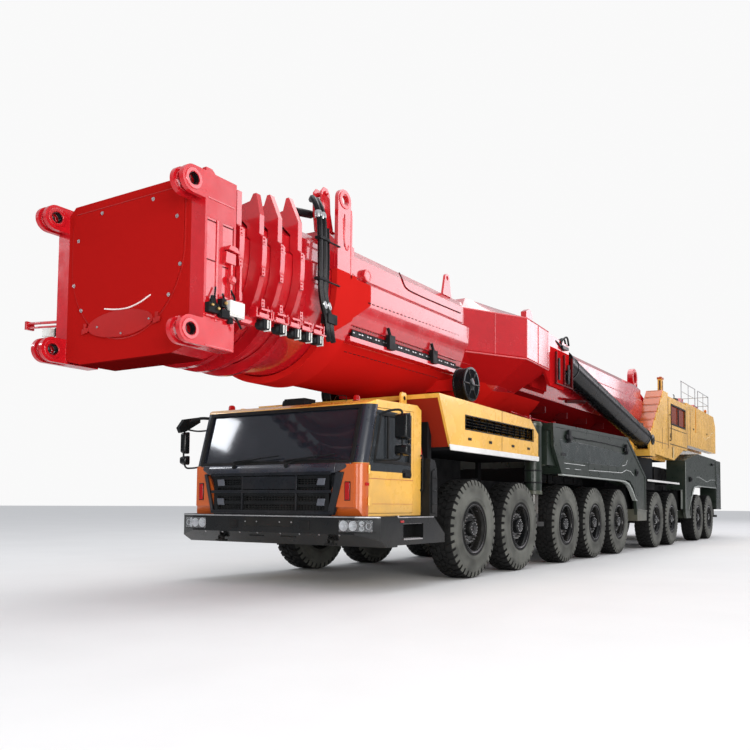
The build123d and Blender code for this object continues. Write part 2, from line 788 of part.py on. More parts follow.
with BuildPart() as machinery_house:
    side_points = [(house_front_x, house_front_low_z)]
    for step in range(louvre_steps):
        step_x = house_front_x - louvre_length * step / louvre_steps
        side_points.append((step_x, louvre_front_z + louvre_rise * step / louvre_steps))
        side_points.append((step_x - louvre_length / louvre_steps / 2,
                            louvre_front_z + louvre_rise * (step + 1) / louvre_steps))
    side_points += [(tail_rear_x + house_rear_run, house_rear_top_z),
                    (tail_rear_x, house_rear_top_z - house_rear_run), (tail_rear_x, house_tail_z),
                    (house_tail_x, house_tail_z), (house_belly_x, house_belly_z)]
    for side_name, side in left_right:
        with BuildSketch(side_plane(side * house_inner_y)):
            outline(*side_points)
        extrude(amount=-side * (house_outer_y - house_inner_y))
    rear_corners = [
        edge for edge in machinery_house.edges()
        if edge.center().X < tail_rear_x + house_rear_run and abs(edge.center().Y) > house_outer_y - seat_gap
    ]
    fillet(rear_corners, house_corner_radius)
    box_between(crane_cab_rear_x - crane_cab_gap, crane_cab_front_x + crane_cab_gap,
                0, house_outer_y, crane_cab_low_z - seat_gap, 2 * crane_cab_high_z,
                mode=Mode.SUBTRACT)
    box_between(tail_rear_x + crane_cab_wall, rear_house_x, -house_inner_y, house_inner_y,
                tail_high_z + seat_gap, house_rear_top_z - rear_house_inset)
    for side_name, side in left_right:
        box_between(groove_x - groove_half, groove_x + groove_half,
                    side * (house_outer_y - groove_depth), side * house_outer_y,
                    groove_low_z, house_top_z, mode=Mode.SUBTRACT)
finish(machinery_house.part, "machinery_house")

with BuildPart() as crane_cab:
    box_between(crane_cab_rear_x, crane_cab_front_x, crane_cab_inner_y, crane_cab_outer_y,
                crane_cab_low_z, crane_cab_high_z)
    box_between(crane_cab_rear_x + crane_cab_wall, crane_cab_front_x - crane_cab_wall,
                crane_cab_inner_y + crane_cab_wall, crane_cab_outer_y - crane_cab_wall,
                crane_cab_low_z + crane_cab_wall, crane_cab_high_z - crane_cab_wall, mode=Mode.SUBTRACT)
    box_between(crane_cab_rear_x + crane_window_rear, crane_cab_front_x - crane_window_front,
                crane_cab_outer_y - crane_cab_wall, crane_cab_outer_y,
                crane_window_low_z, crane_window_high_z, mode=Mode.SUBTRACT)
    box_between(crane_cab_front_x - crane_cab_wall, crane_cab_front_x,
                crane_cab_inner_y + crane_screen_edge, crane_cab_outer_y - crane_screen_edge,
                crane_screen_low_z, crane_screen_high_z, mode=Mode.SUBTRACT)
    box_between(mast_x - mast_half, mast_x + mast_half, mast_inner_y, crane_cab_inner_y,
                mast_low_z, mast_top_z)
finish(crane_cab.part, "crane_cab")

winch_x = -8180.0
winch_z = 3780.0
winch_radius = 380.0
winch_drum_radius = 300.0
winch_half_length = 700.0
winch_flange = 60.0
winch_foot_half = 250.0
with BuildPart() as winch:
    with BuildSketch(side_plane(winch_half_length)):
        with Locations((winch_x, winch_z)):
            Circle(winch_drum_radius)
    extrude(amount=2 * winch_half_length)
    for plate_y in (-winch_half_length, winch_half_length - winch_flange):
        with BuildSketch(side_plane(plate_y + winch_flange)):
            with Locations((winch_x, winch_z)):
                Circle(winch_radius)
            outline((winch_x - winch_foot_half, tail_high_z + seat_gap), (winch_x - winch_foot_half, winch_z),
                    (winch_x + winch_foot_half, winch_z), (winch_x + winch_foot_half, tail_high_z + seat_gap))
        extrude(amount=winch_flange)
finish(winch.part, "winch")

# ---------------------------------------------------------------- boom
def boom_outline(inset, drop):
    """Cross-section of the boom, with its sides moved in by inset and its top down by drop."""
    half = boom_half_width - inset
    step_half = half - boom_fold_step
    top = boom_top_z - drop
    with BuildSketch(Plane.XY) as section:
        with BuildLine():
            ThreePointArc((-half, boom_arc_z), (0, boom_arc_z - half), (half, boom_arc_z))
            Polyline((half, boom_arc_z), (half, boom_fold_z), (step_half, boom_fold_z + boom_fold_step),
                     (step_half, top - boom_corner), (step_half - boom_corner, top),
                     (-step_half + boom_corner, top), (-step_half, top - boom_corner),
                     (-step_half, boom_fold_z + boom_fold_step), (-half, boom_fold_z),
                     (-half, boom_arc_z))
        make_face()
    return section.sketch


def collar_outline(top_z, tip_y, tip_z):
    """Outline of a collar round the boom, with a horn at each upper corner that ends at its tip."""
    edge_y = boom_half_width + collar_rise - boom_fold_step
    with BuildSketch(Plane.XY) as section:
        add(boom_outline(-collar_rise, boom_top_z - top_z))
        for side_name, side in left_right:
            outline((side * (tip_y - horn_length), top_z - boom_corner), (side * (tip_y - horn_length), top_z),
                    (side * (tip_y - 2 * horn_tip_width), top_z + horn_drop),
                    (side * (tip_y - horn_tip_width), tip_z), (side * tip_y, tip_z),
                    (side * edge_y, top_z - boom_corner))
    return section.sketch


foot_inner_y = 700.0
foot_outer_y = 960.0
foot_boss_radius = 330.0
foot_bore_radius = pivot_pin + running_gap
foot_plate_front = 400.0
foot_low_z = 3100.0
foot_high_z = 4400.0
loop_x = -4700.0
loop_half = 260.0
loop_bore = 150.0
loop_top_z = 5100.0
loop_inner_y = 550.0
saddle_levels = (
    # height, front x, front y, middle x, middle y, rear x, rear y
    (2780.0, 6150.0, 420.0, 5470.0, 620.0, 4800.0, 520.0),
    (3630.0, 6650.0, 1050.0, 5470.0, 1700.0, 4250.0, 1610.0),
    (4350.0, 6650.0, 1050.0, 5470.0, 1700.0, 4250.0, 1610.0),
    (4620.0, 6250.0, 900.0, 5350.0, 1050.0, 4450.0, 950.0),
)
saddle_lug_x = 3600.0
saddle_lug_length = 300.0
saddle_lug_inner_y = 760.0
saddle_lug_thickness = 120.0
saddle_lug_top_z = 5050.0
saddle_lug_peak = 70.0
fork_thickness = 50.0
fork_half_height = 240.0
fork_root = 250.0
fork_low_z = 3350.0
fork_low_inset = 100.0
fork_low_run = 50.0
rear_plate_thickness = 60.0
tall_lug_inset = 10.0
tall_lug_length = 270.0
tall_lug_low_z = 3840.0
tall_lug_eye_z = 4960.0
tall_lug_radius = 135.0
tall_lug_y = 1130.0
tall_lug_thickness = 55.0
tall_slot_low_z = 4360.0
tall_slot_length = 420.0
tall_slot_width = 26.0
handling_lug_x = 6980.0
handling_lug_half = 70.0
handling_lug_y = 960.0
handling_lug_thickness = 40.0
handling_lug_eye_z = 4770.0
eye_boss_x = 9450.0
eye_boss_z = 4150.0
eye_boss_radius = 85.0
eye_boss_rise = 40.0
rail_rear_x = 6800.0
rail_front_x = 9750.0
rail_outer_y = 1070.0
rail_low_z = 3225.0
rail_high_z = 3285.0
reel_x = 6950.0
reel_z = 3010.0
reel_radius = 250.0
reel_inner_y = 1220.0
reel_outer_y = 1400.0
reel_arm_half = 90.0
loop_low_z = boom_pivot_z + foot_bore_radius
bore_sketch = boom_outline(boom_wall, boom_wall)
tube_sketch = boom_outline(0, 0)
base_collar_sketch = boom_outline(-collar_rise, -collar_rise)
tall_lug_front_x = boom_base_front_x - tall_lug_inset
saddle_rear_x = saddle_levels[1][5]
saddle_low_z = saddle_levels[1][0]
saddle_high_z = saddle_levels[2][0]
fork_inner = luff_y - luff_eye_width / 2 - luff_side_gap - fork_thickness
fork_outer = luff_y + luff_eye_width / 2 + luff_side_gap
fork_end_x = luff_eye_x - fork_half_height
with BuildPart() as boom_base:
    with BuildSketch(cross_plane(boom_base_rear_x)):
        add(tube_sketch)
    extrude(amount=boom_base_front_x - boom_base_rear_x)
    with BuildSketch(cross_plane(boom_base_front_x - base_collar_length)):
        add(base_collar_sketch)
    extrude(amount=base_collar_length)
    for lower, upper in zip(saddle_levels, saddle_levels[1:]):
        for z, front_x, front_y, middle_x, middle_y, rear_x, rear_y in (lower, upper):
            with BuildSketch(Plane.XY.offset(z)):
                outline((front_x, -front_y), (front_x, front_y), (middle_x, middle_y),
                        (rear_x, rear_y), (rear_x, -rear_y), (middle_x, -middle_y))
        loft()
    for side_name, side in left_right:
        box_between(rail_rear_x, rail_front_x, 0, side * rail_outer_y, rail_low_z, rail_high_z)
        box_between(reel_x - reel_arm_half, reel_x + reel_arm_half, 0, side * reel_inner_y,
                    reel_z - reel_arm_half, reel_z + reel_arm_half)
        with BuildSketch(side_plane(side * reel_inner_y)):
            with Locations((reel_x, reel_z)):
                Circle(reel_radius)
        extrude(amount=-side * (reel_outer_y - reel_inner_y))
        with BuildSketch(side_plane(side * tall_lug_y)):
            with Locations((eye_boss_x, eye_boss_z)):
                Circle(eye_boss_radius)
        extrude(amount=side * eye_boss_radius)
    with BuildSketch(cross_plane(boom_base_rear_x)):
        add(bore_sketch)
    extrude(amount=boom_base_front_x - boom_base_rear_x, mode=Mode.SUBTRACT)
    for side_name, side in left_right:
        for fork_y in (fork_inner, fork_outer):
            with BuildSketch(side_plane(side * fork_y)):
                outline((saddle_rear_x + fork_root, saddle_low_z + fork_thickness),
                        (saddle_rear_x + fork_root, saddle_high_z),
                        (fork_end_x, luff_eye_z + fork_half_height),
                        (fork_end_x, luff_eye_z - fork_half_height),
                        (luff_eye_x, luff_eye_z - fork_half_height),
                        (luff_eye_x + fork_low_run, fork_low_z), (saddle_rear_x - fork_low_inset, fork_low_z))
            extrude(amount=-side * fork_thickness)
        with BuildSketch(side_plane(side * foot_inner_y)):
            outline((boom_base_rear_x + foot_plate_front, foot_low_z),
                    (boom_base_rear_x + foot_plate_front, foot_high_z),
                    (boom_base_rear_x, foot_high_z), (boom_pivot_x, boom_pivot_z + foot_boss_radius),
                    (boom_pivot_x, boom_pivot_z - foot_boss_radius), (boom_base_rear_x, foot_low_z))
            with Locations((boom_pivot_x, boom_pivot_z)):
                Circle(foot_boss_radius)
                Circle(foot_bore_radius, mode=Mode.SUBTRACT)
        extrude(amount=-side * (foot_outer_y - foot_inner_y))
        with BuildSketch(side_plane(side * loop_inner_y)):
            with Locations((loop_x, loop_top_z - loop_half)):
                Circle(loop_half)
            with Locations((loop_x, (loop_top_z - loop_half + loop_low_z) / 2)):
                Rectangle(2 * loop_half, loop_top_z - loop_half - loop_low_z)
            with Locations((loop_x, loop_top_z - loop_half)):
                Circle(loop_bore, mode=Mode.SUBTRACT)
        extrude(amount=-side * (foot_inner_y - loop_inner_y))
        with BuildSketch(side_plane(side * saddle_lug_inner_y)):
            outline((saddle_lug_x - saddle_lug_length, boom_top_z - boom_wall),
                    (saddle_lug_x, boom_top_z - boom_wall),
                    (saddle_lug_x, saddle_lug_top_z - saddle_lug_peak),
                    (saddle_lug_x - saddle_lug_length / 2, saddle_lug_top_z),
                    (saddle_lug_x - saddle_lug_length, saddle_lug_top_z - saddle_lug_peak))
        extrude(amount=-side * saddle_lug_thickness)
        box_between(tall_lug_front_x - tall_lug_length, tall_lug_front_x, side * tall_lug_y,
                    side * (tall_lug_y + tall_lug_thickness), tall_lug_low_z, tall_lug_eye_z)
        with BuildSketch(side_plane(side * tall_lug_y)):
            with Locations((tall_lug_front_x - tall_lug_length / 2, tall_lug_eye_z)):
                Circle(tall_lug_radius)
        extrude(amount=-side * tall_lug_thickness)
        with BuildSketch(side_plane(side * (tall_lug_y + tall_lug_thickness / 2))):
            with Locations((tall_lug_front_x - tall_lug_length / 2, tall_lug_eye_z)):
                Circle(lug_bore_radius)
            with Locations((tall_lug_front_x - tall_lug_length / 2, tall_slot_low_z + tall_slot_length / 2)):
                Rectangle(tall_slot_width, tall_slot_length)
        extrude(amount=tall_lug_thickness, both=True, mode=Mode.SUBTRACT)
        with BuildSketch(side_plane(side * handling_lug_y)):
            with Locations((handling_lug_x, handling_lug_eye_z)):
                Circle(handling_lug_half)
            outline((handling_lug_x - 2 * handling_lug_half, boom_top_z - boom_wall),
                    (handling_lug_x + 2 * handling_lug_half, boom_top_z - boom_wall),
                    (handling_lug_x + handling_lug_half, handling_lug_eye_z),
                    (handling_lug_x - handling_lug_half, handling_lug_eye_z))
            with Locations((handling_lug_x, handling_lug_eye_z)):
                Circle(handling_lug_half / 2, mode=Mode.SUBTRACT)
        extrude(amount=side * handling_lug_thickness)
    with BuildSketch(cross_plane(boom_base_rear_x)):
        add(tube_sketch)
    extrude(amount=rear_plate_thickness)
finish(boom_base.part, "boom_base")

# The telescopic sections slide in each other, each with its own collar in front.
sections = (
    # number, collar front x, collar top z, horn tip y, horn tip z
    (1, 10900.0, 4570.0, 990.0, 4740.0),
    (2, 11250.0, 4510.0, 1010.0, 4650.0),
    (3, 11550.0, 4450.0, 1080.0, 4550.0),
    (4, 11900.0, 4390.0, 1140.0, 4450.0),
    (5, 12000.0, 4390.0, 1140.0, 4450.0),
)
head_front_lug_x = head_front_x + lug_reach
lug_heights = (head_bottom_z + lower_lug_rise, head_top_z - upper_lug_drop)
lug_y = head_half_width - lug_ear_gap / 2 - lug_ear_thickness
pad_length = 220.0
pad_half_width = 450.0
pad_edge = 30.0
lug_web_setback = 60.0
for number, front_x, collar_top_z, horn_tip_y, horn_tip_z in sections:
    rear_x = boom_base_rear_x + section_rear_step * (number + 1)
    tube_sketch = boom_outline(number * side_step, number * top_step)
    bore_sketch = boom_outline(number * side_step + boom_wall, number * top_step + boom_wall)
    with BuildPart() as telescope:
        with BuildSketch(cross_plane(rear_x)):
            add(tube_sketch)
        extrude(amount=front_x - rear_x)
        tube_half = boom_half_width - number * side_step
        tube_top = boom_top_z - number * top_step
        side_rise = boom_side_gap - seat_gap
        box_between(rear_x, rear_x + pad_length, -pad_half_width, pad_half_width,
                    tube_top, tube_top + boom_top_gap - seat_gap)
        box_between(rear_x, rear_x + pad_length, -tube_half - side_rise, tube_half + side_rise,
                    boom_arc_z + pad_edge, boom_fold_z - pad_edge)
        if number < len(sections):
            with BuildSketch(cross_plane(front_x - collar_thickness)):
                add(collar_outline(collar_top_z, horn_tip_y, horn_tip_z))
            extrude(amount=collar_thickness)
            with BuildSketch(cross_plane(rear_x)):
                add(bore_sketch)
            extrude(amount=front_x - rear_x, mode=Mode.SUBTRACT)
        else:
            with BuildSketch(cross_plane(rear_x)):
                add(bore_sketch)
            extrude(amount=head_rear_x - rear_x, mode=Mode.SUBTRACT)
            with BuildSketch(cross_plane(head_rear_x)):
                outline((-head_half_width, head_bottom_z),
                        (-head_half_width, head_top_z - head_top_chamfer),
                        (-head_half_width + head_chamfer, head_top_z),
                        (head_half_width - head_chamfer, head_top_z),
                        (head_half_width, head_top_z - head_top_chamfer),
                        (head_half_width, head_bottom_z),
                        (head_half_width - head_belly_run, head_belly_z),
                        (-head_half_width + head_belly_run, head_belly_z))
            extrude(amount=head_front_x - head_rear_x)
            with BuildSketch(cross_plane(head_front_x)):
                with Locations((0, cover_arc_z)):
                    Circle(cover_radius)
                with Locations((0, (cover_arc_z + cover_top_z) / 2)):
                    Rectangle(2 * cover_radius, cover_top_z - cover_arc_z)
                with Locations((0, cover_top_z + cover_radius / 2)):
                    Rectangle(2 * cover_radius, cover_radius, mode=Mode.SUBTRACT)
            extrude(amount=cover_rise)
            pocket_middle_x = (head_rear_x + head_front_x) / 2
            for side_name, side in left_right:
                for pocket_x in (head_rear_x, pocket_middle_x):
                    box_between(pocket_x + head_rib, pocket_x + (head_front_x - head_rear_x) / 2 - head_rib,
                                side * (head_half_width - head_pocket_depth), side * head_half_width,
                                head_pocket_low_z, head_pocket_high_z, mode=Mode.SUBTRACT)
                for lug_z in lug_heights:
                    box_between(head_rear_x, head_front_x - lug_web_setback,
                                side * (lug_y - lug_ear_gap / 2), side * (lug_y + lug_ear_gap / 2),
                                lug_z - lug_ear_radius, lug_z + lug_ear_radius)
                    for ear in (-1, 1):
                        ear_y = side * lug_y + ear * (lug_ear_gap + lug_ear_thickness) / 2
                        with BuildSketch(side_plane(ear_y + lug_ear_thickness / 2)):
                            with Locations((head_front_lug_x, lug_z)):
                                Circle(lug_ear_radius)
                            with Locations(((head_front_lug_x + head_rear_x) / 2, lug_z)):
                                Rectangle(head_front_lug_x - head_rear_x, 2 * lug_ear_radius)
                            with Locations((head_front_lug_x, lug_z)):
                                Circle(lug_bore_radius, mode=Mode.SUBTRACT)
                        extrude(amount=lug_ear_thickness)
                with BuildSketch(side_plane(side * head_half_width)):
                    outline((head_front_x, lug_heights[1]), (head_front_x, lug_heights[1] + lug_fin_rise),
                            (head_front_x - lug_fin_length, lug_heights[1] + lug_fin_rise),
                            (head_front_x - 2 * lug_fin_length, head_top_z - lug_fin_drop / 2),
                            (head_rear_x, head_top_z - lug_fin_drop), (head_rear_x, lug_heights[1]))
                extrude(amount=side * lug_ear_thickness)
    finish(telescope.part, f"boom_section_{number}")

# ---------------------------------------------------------------- luffing cylinders
def luff_plane(y):
    """Side plane whose local x runs from the foot pin along the cylinder's axis."""
    direction = math.radians(luff_angle)
    return Plane(origin=(luff_foot_x, y, luff_foot_z),
                 x_dir=(math.cos(direction), 0, math.sin(direction)), z_dir=(0, -1, 0))


def luff_cross(distance):
    """Plane square to the cylinder's axis at a distance from the foot pin."""
    direction = math.radians(luff_angle)
    cosine = math.cos(direction)
    sine = math.sin(direction)
    return Plane(origin=(luff_foot_x + distance * cosine, 0, luff_foot_z + distance * sine),
                 x_dir=(0, 1, 0), z_dir=(cosine, 0, sine))


barrel_start = 260.0
barrel_end = luff_length - luff_rod_showing
rod_start = barrel_end - luff_rod_inside
with BuildPart() as luff_barrels:
    for side_name, side in left_right:
        with BuildSketch(luff_plane(side * luff_y + luff_eye_width / 2)):
            Circle(luff_eye_radius)
            with Locations((barrel_start / 2, 0)):
                Rectangle(barrel_start, 2 * luff_neck_half)
            Circle(luff_pin_radius + running_gap, mode=Mode.SUBTRACT)
        extrude(amount=luff_eye_width)
        with BuildSketch(luff_cross(barrel_start)):
            with Locations((side * luff_y, 0)):
                Circle(luff_barrel_radius)
        extrude(amount=barrel_end - barrel_start)
        with BuildSketch(luff_cross(rod_start - running_gap)):
            with Locations((side * luff_y, 0)):
                Circle(luff_rod_radius + running_gap)
        extrude(amount=barrel_end - rod_start + running_gap, mode=Mode.SUBTRACT)
finish(luff_barrels.part, "luff_barrels")

with BuildPart() as luff_rods:
    for side_name, side in left_right:
        with BuildSketch(luff_cross(rod_start)):
            with Locations((side * luff_y, 0)):
                Circle(luff_rod_radius)
        extrude(amount=luff_length - rod_start - luff_pin_radius - luff_side_gap)
        with BuildSketch(luff_plane(side * luff_y + luff_eye_width / 2)):
            with Locations((luff_length, 0)):
                Circle(luff_eye_radius)
                Circle(luff_pin_radius + running_gap, mode=Mode.SUBTRACT)
        extrude(amount=luff_eye_width)
finish(luff_rods.part, "luff_rods")

# ---------------------------------------------------------------- outriggers
# Each arm's outlines are (distance from its pivot along the arm, height).
front_arm_end = front_jack_distance - front_arm_setback
rear_arm_end = rear_jack_distance - rear_arm_setback
outriggers = (
    # name, pivot x, direction, jack distance, box end, beam start, beam end, box outline, leg outline
    ("front", pivot_front_x, 1, front_jack_distance, front_arm_end, 1450.0, front_jack_distance - 150.0,
     ((front_arm_end, 2640.0), (1080.0, 2730.0), (-500.0, 1850.0), (-500.0, upper_lug_z),
      (260.0, upper_lug_z), (1050.0, 1710.0), (front_arm_end - front_arm_slant, 1710.0),
      (front_arm_end - 30.0, 2200.0)),
     ((-500.0, 1850.0), (-500.0, lower_lug_z), (300.0, lower_lug_z), (420.0, 1300.0),
      (620.0, 1550.0), (1050.0, 1760.0))),
    ("rear", pivot_rear_x, -1, rear_jack_distance, rear_arm_end, 1450.0, rear_jack_distance - 350.0,
     ((rear_arm_end, 2760.0), (1250.0, 2790.0), (-450.0, 2500.0), (-450.0, upper_lug_z),
      (260.0, upper_lug_z), (1100.0, 1760.0), (rear_arm_end, 1760.0)),
     ((-450.0, 2000.0), (-450.0, 900.0), (-300.0, lower_lug_z), (320.0, lower_lug_z),
      (420.0, 1300.0), (620.0, 1600.0), (1100.0, 1780.0))),
)
rear_box_start = rear_jack_distance - rear_arm_setback + arm_box_gap
rear_box_end = rear_jack_distance + rear_box_reach
rear_box_low_z = 1000.0
rear_box_high_z = 2740.0
for (name, pivot_x, direction, jack_distance, box_end,
     beam_start, beam_end, box_points, leg_points) in outriggers:
    jack_x = pivot_x + direction * jack_distance
    for side_name, side in left_right:
        with BuildPart() as arm:
            with BuildSketch(side_plane(side * arm_inner_y)):
                outline(*[(pivot_x + direction * u, z) for u, z in box_points])
            extrude(amount=-side * (arm_outer_y - arm_inner_y))
            box_between(pivot_x + direction * (beam_start - beam_gap),
                        pivot_x + direction * (box_end + arm_mouth),
                        side * (arm_inner_y + arm_wall), side * (arm_outer_y - arm_wall),
                        beam_bottom_z - seat_gap, beam_top_z + beam_gap, mode=Mode.SUBTRACT)
            with BuildSketch(side_plane(side * (arm_outer_y - arm_side_plate))):
                outline(*[(pivot_x + direction * u, z) for u, z in leg_points])
            extrude(amount=-side * arm_side_plate)
            with BuildSketch(side_plane(side * arm_outer_y)):
                outline(*[(pivot_x + direction * u, z) for u, z in box_points])
                outline(*[(pivot_x + direction * u, z) for u, z in leg_points])
                offset(amount=-arm_rim_width, kind=Kind.INTERSECTION, mode=Mode.SUBTRACT)
            extrude(amount=-side * arm_rim_rise)
            with BuildSketch(Plane.XY.offset(lower_lug_z)):
                with Locations((pivot_x, side * pivot_y)):
                    Circle(pivot_lug_radius)
                with Locations((pivot_x, side * (pivot_y + arm_outer_y) / 2)):
                    Rectangle(2 * pivot_lug_radius, arm_outer_y - pivot_y)
            extrude(amount=lower_lug_height)
            with BuildSketch(Plane.XY.offset(lower_lug_z)):
                with Locations((pivot_x, side * pivot_y)):
                    Circle(pivot_pin_radius)
            extrude(amount=upper_lug_z + 2 * seat_gap - lower_lug_z)
        finish(arm.part, f"outrigger_arm_{name}_{side_name}")

        with BuildPart() as beam:
            box_between(pivot_x + direction * beam_start, pivot_x + direction * beam_end,
                        side * (arm_inner_y + arm_wall + beam_gap), side * (arm_outer_y - arm_wall - beam_gap),
                        beam_bottom_z, beam_top_z)
            if name == "front":
                with BuildSketch(Plane.XY.offset(jack_barrel_low_z)):
                    with Locations((jack_x, side * jack_y)):
                        Circle(jack_radius)
                extrude(amount=jack_barrel_high_z - jack_barrel_low_z)
                barrel_low_z = jack_barrel_low_z
            else:
                box_between(pivot_x + direction * rear_box_start, pivot_x + direction * rear_box_end,
                            side * arm_inner_y, side * arm_outer_y, rear_box_low_z, rear_box_high_z)
                barrel_low_z = rear_box_low_z
            with BuildSketch(Plane.XY.offset(barrel_low_z)):
                with Locations((jack_x, side * jack_y)):
                    Circle(jack_rod_radius + running_gap)
            extrude(amount=jack_bore_top_z - barrel_low_z, mode=Mode.SUBTRACT)
        finish(beam.part, f"outrigger_beam_{name}_{side_name}")

        with BuildPart() as jack:
            with BuildSketch(Plane.XY.offset(jack_foot_z)):
                with Locations((jack_x, side * jack_y)):
                    Circle(jack_foot_radius)
            extrude(amount=jack_foot_height)
            with BuildSketch(Plane.XY.offset(jack_foot_z)):
                with Locations((jack_x, side * jack_y)):
                    Circle(jack_rod_radius)
            extrude(amount=jack_rod_top_z - jack_foot_z)
        finish(jack.part, f"outrigger_jack_{name}_{side_name}")
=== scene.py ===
"""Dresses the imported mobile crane: materials, tyre tread, rims, hoses, lamps, mirrors, rails and trim, in metres."""
import math
import random
import bmesh
import bpy
from mathutils import Matrix, Vector


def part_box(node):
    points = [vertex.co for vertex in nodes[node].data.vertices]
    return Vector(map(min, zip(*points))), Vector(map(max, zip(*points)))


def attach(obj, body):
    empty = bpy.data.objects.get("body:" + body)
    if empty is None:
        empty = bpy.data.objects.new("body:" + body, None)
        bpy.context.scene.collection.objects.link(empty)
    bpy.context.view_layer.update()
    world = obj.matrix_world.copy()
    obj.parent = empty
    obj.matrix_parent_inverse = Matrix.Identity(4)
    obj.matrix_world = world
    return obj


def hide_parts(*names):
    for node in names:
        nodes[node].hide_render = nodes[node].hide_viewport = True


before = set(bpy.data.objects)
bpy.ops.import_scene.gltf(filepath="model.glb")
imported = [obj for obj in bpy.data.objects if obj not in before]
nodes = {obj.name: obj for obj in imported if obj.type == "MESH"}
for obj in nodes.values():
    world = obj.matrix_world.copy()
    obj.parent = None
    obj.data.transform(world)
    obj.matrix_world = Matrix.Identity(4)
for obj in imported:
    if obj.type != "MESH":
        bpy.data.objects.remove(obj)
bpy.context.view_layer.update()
scene = bpy.context.scene
chance = random.Random(7)
SIDES = (("left", 1), ("right", -1))
BOTH = (1, -1)
SHARP_ANGLE, BEVEL_ANGLE = math.radians(35), math.radians(40)
ALONG, ACROSS, UP = (1, 0, 0), (0, 1, 0), (0, 0, 1)


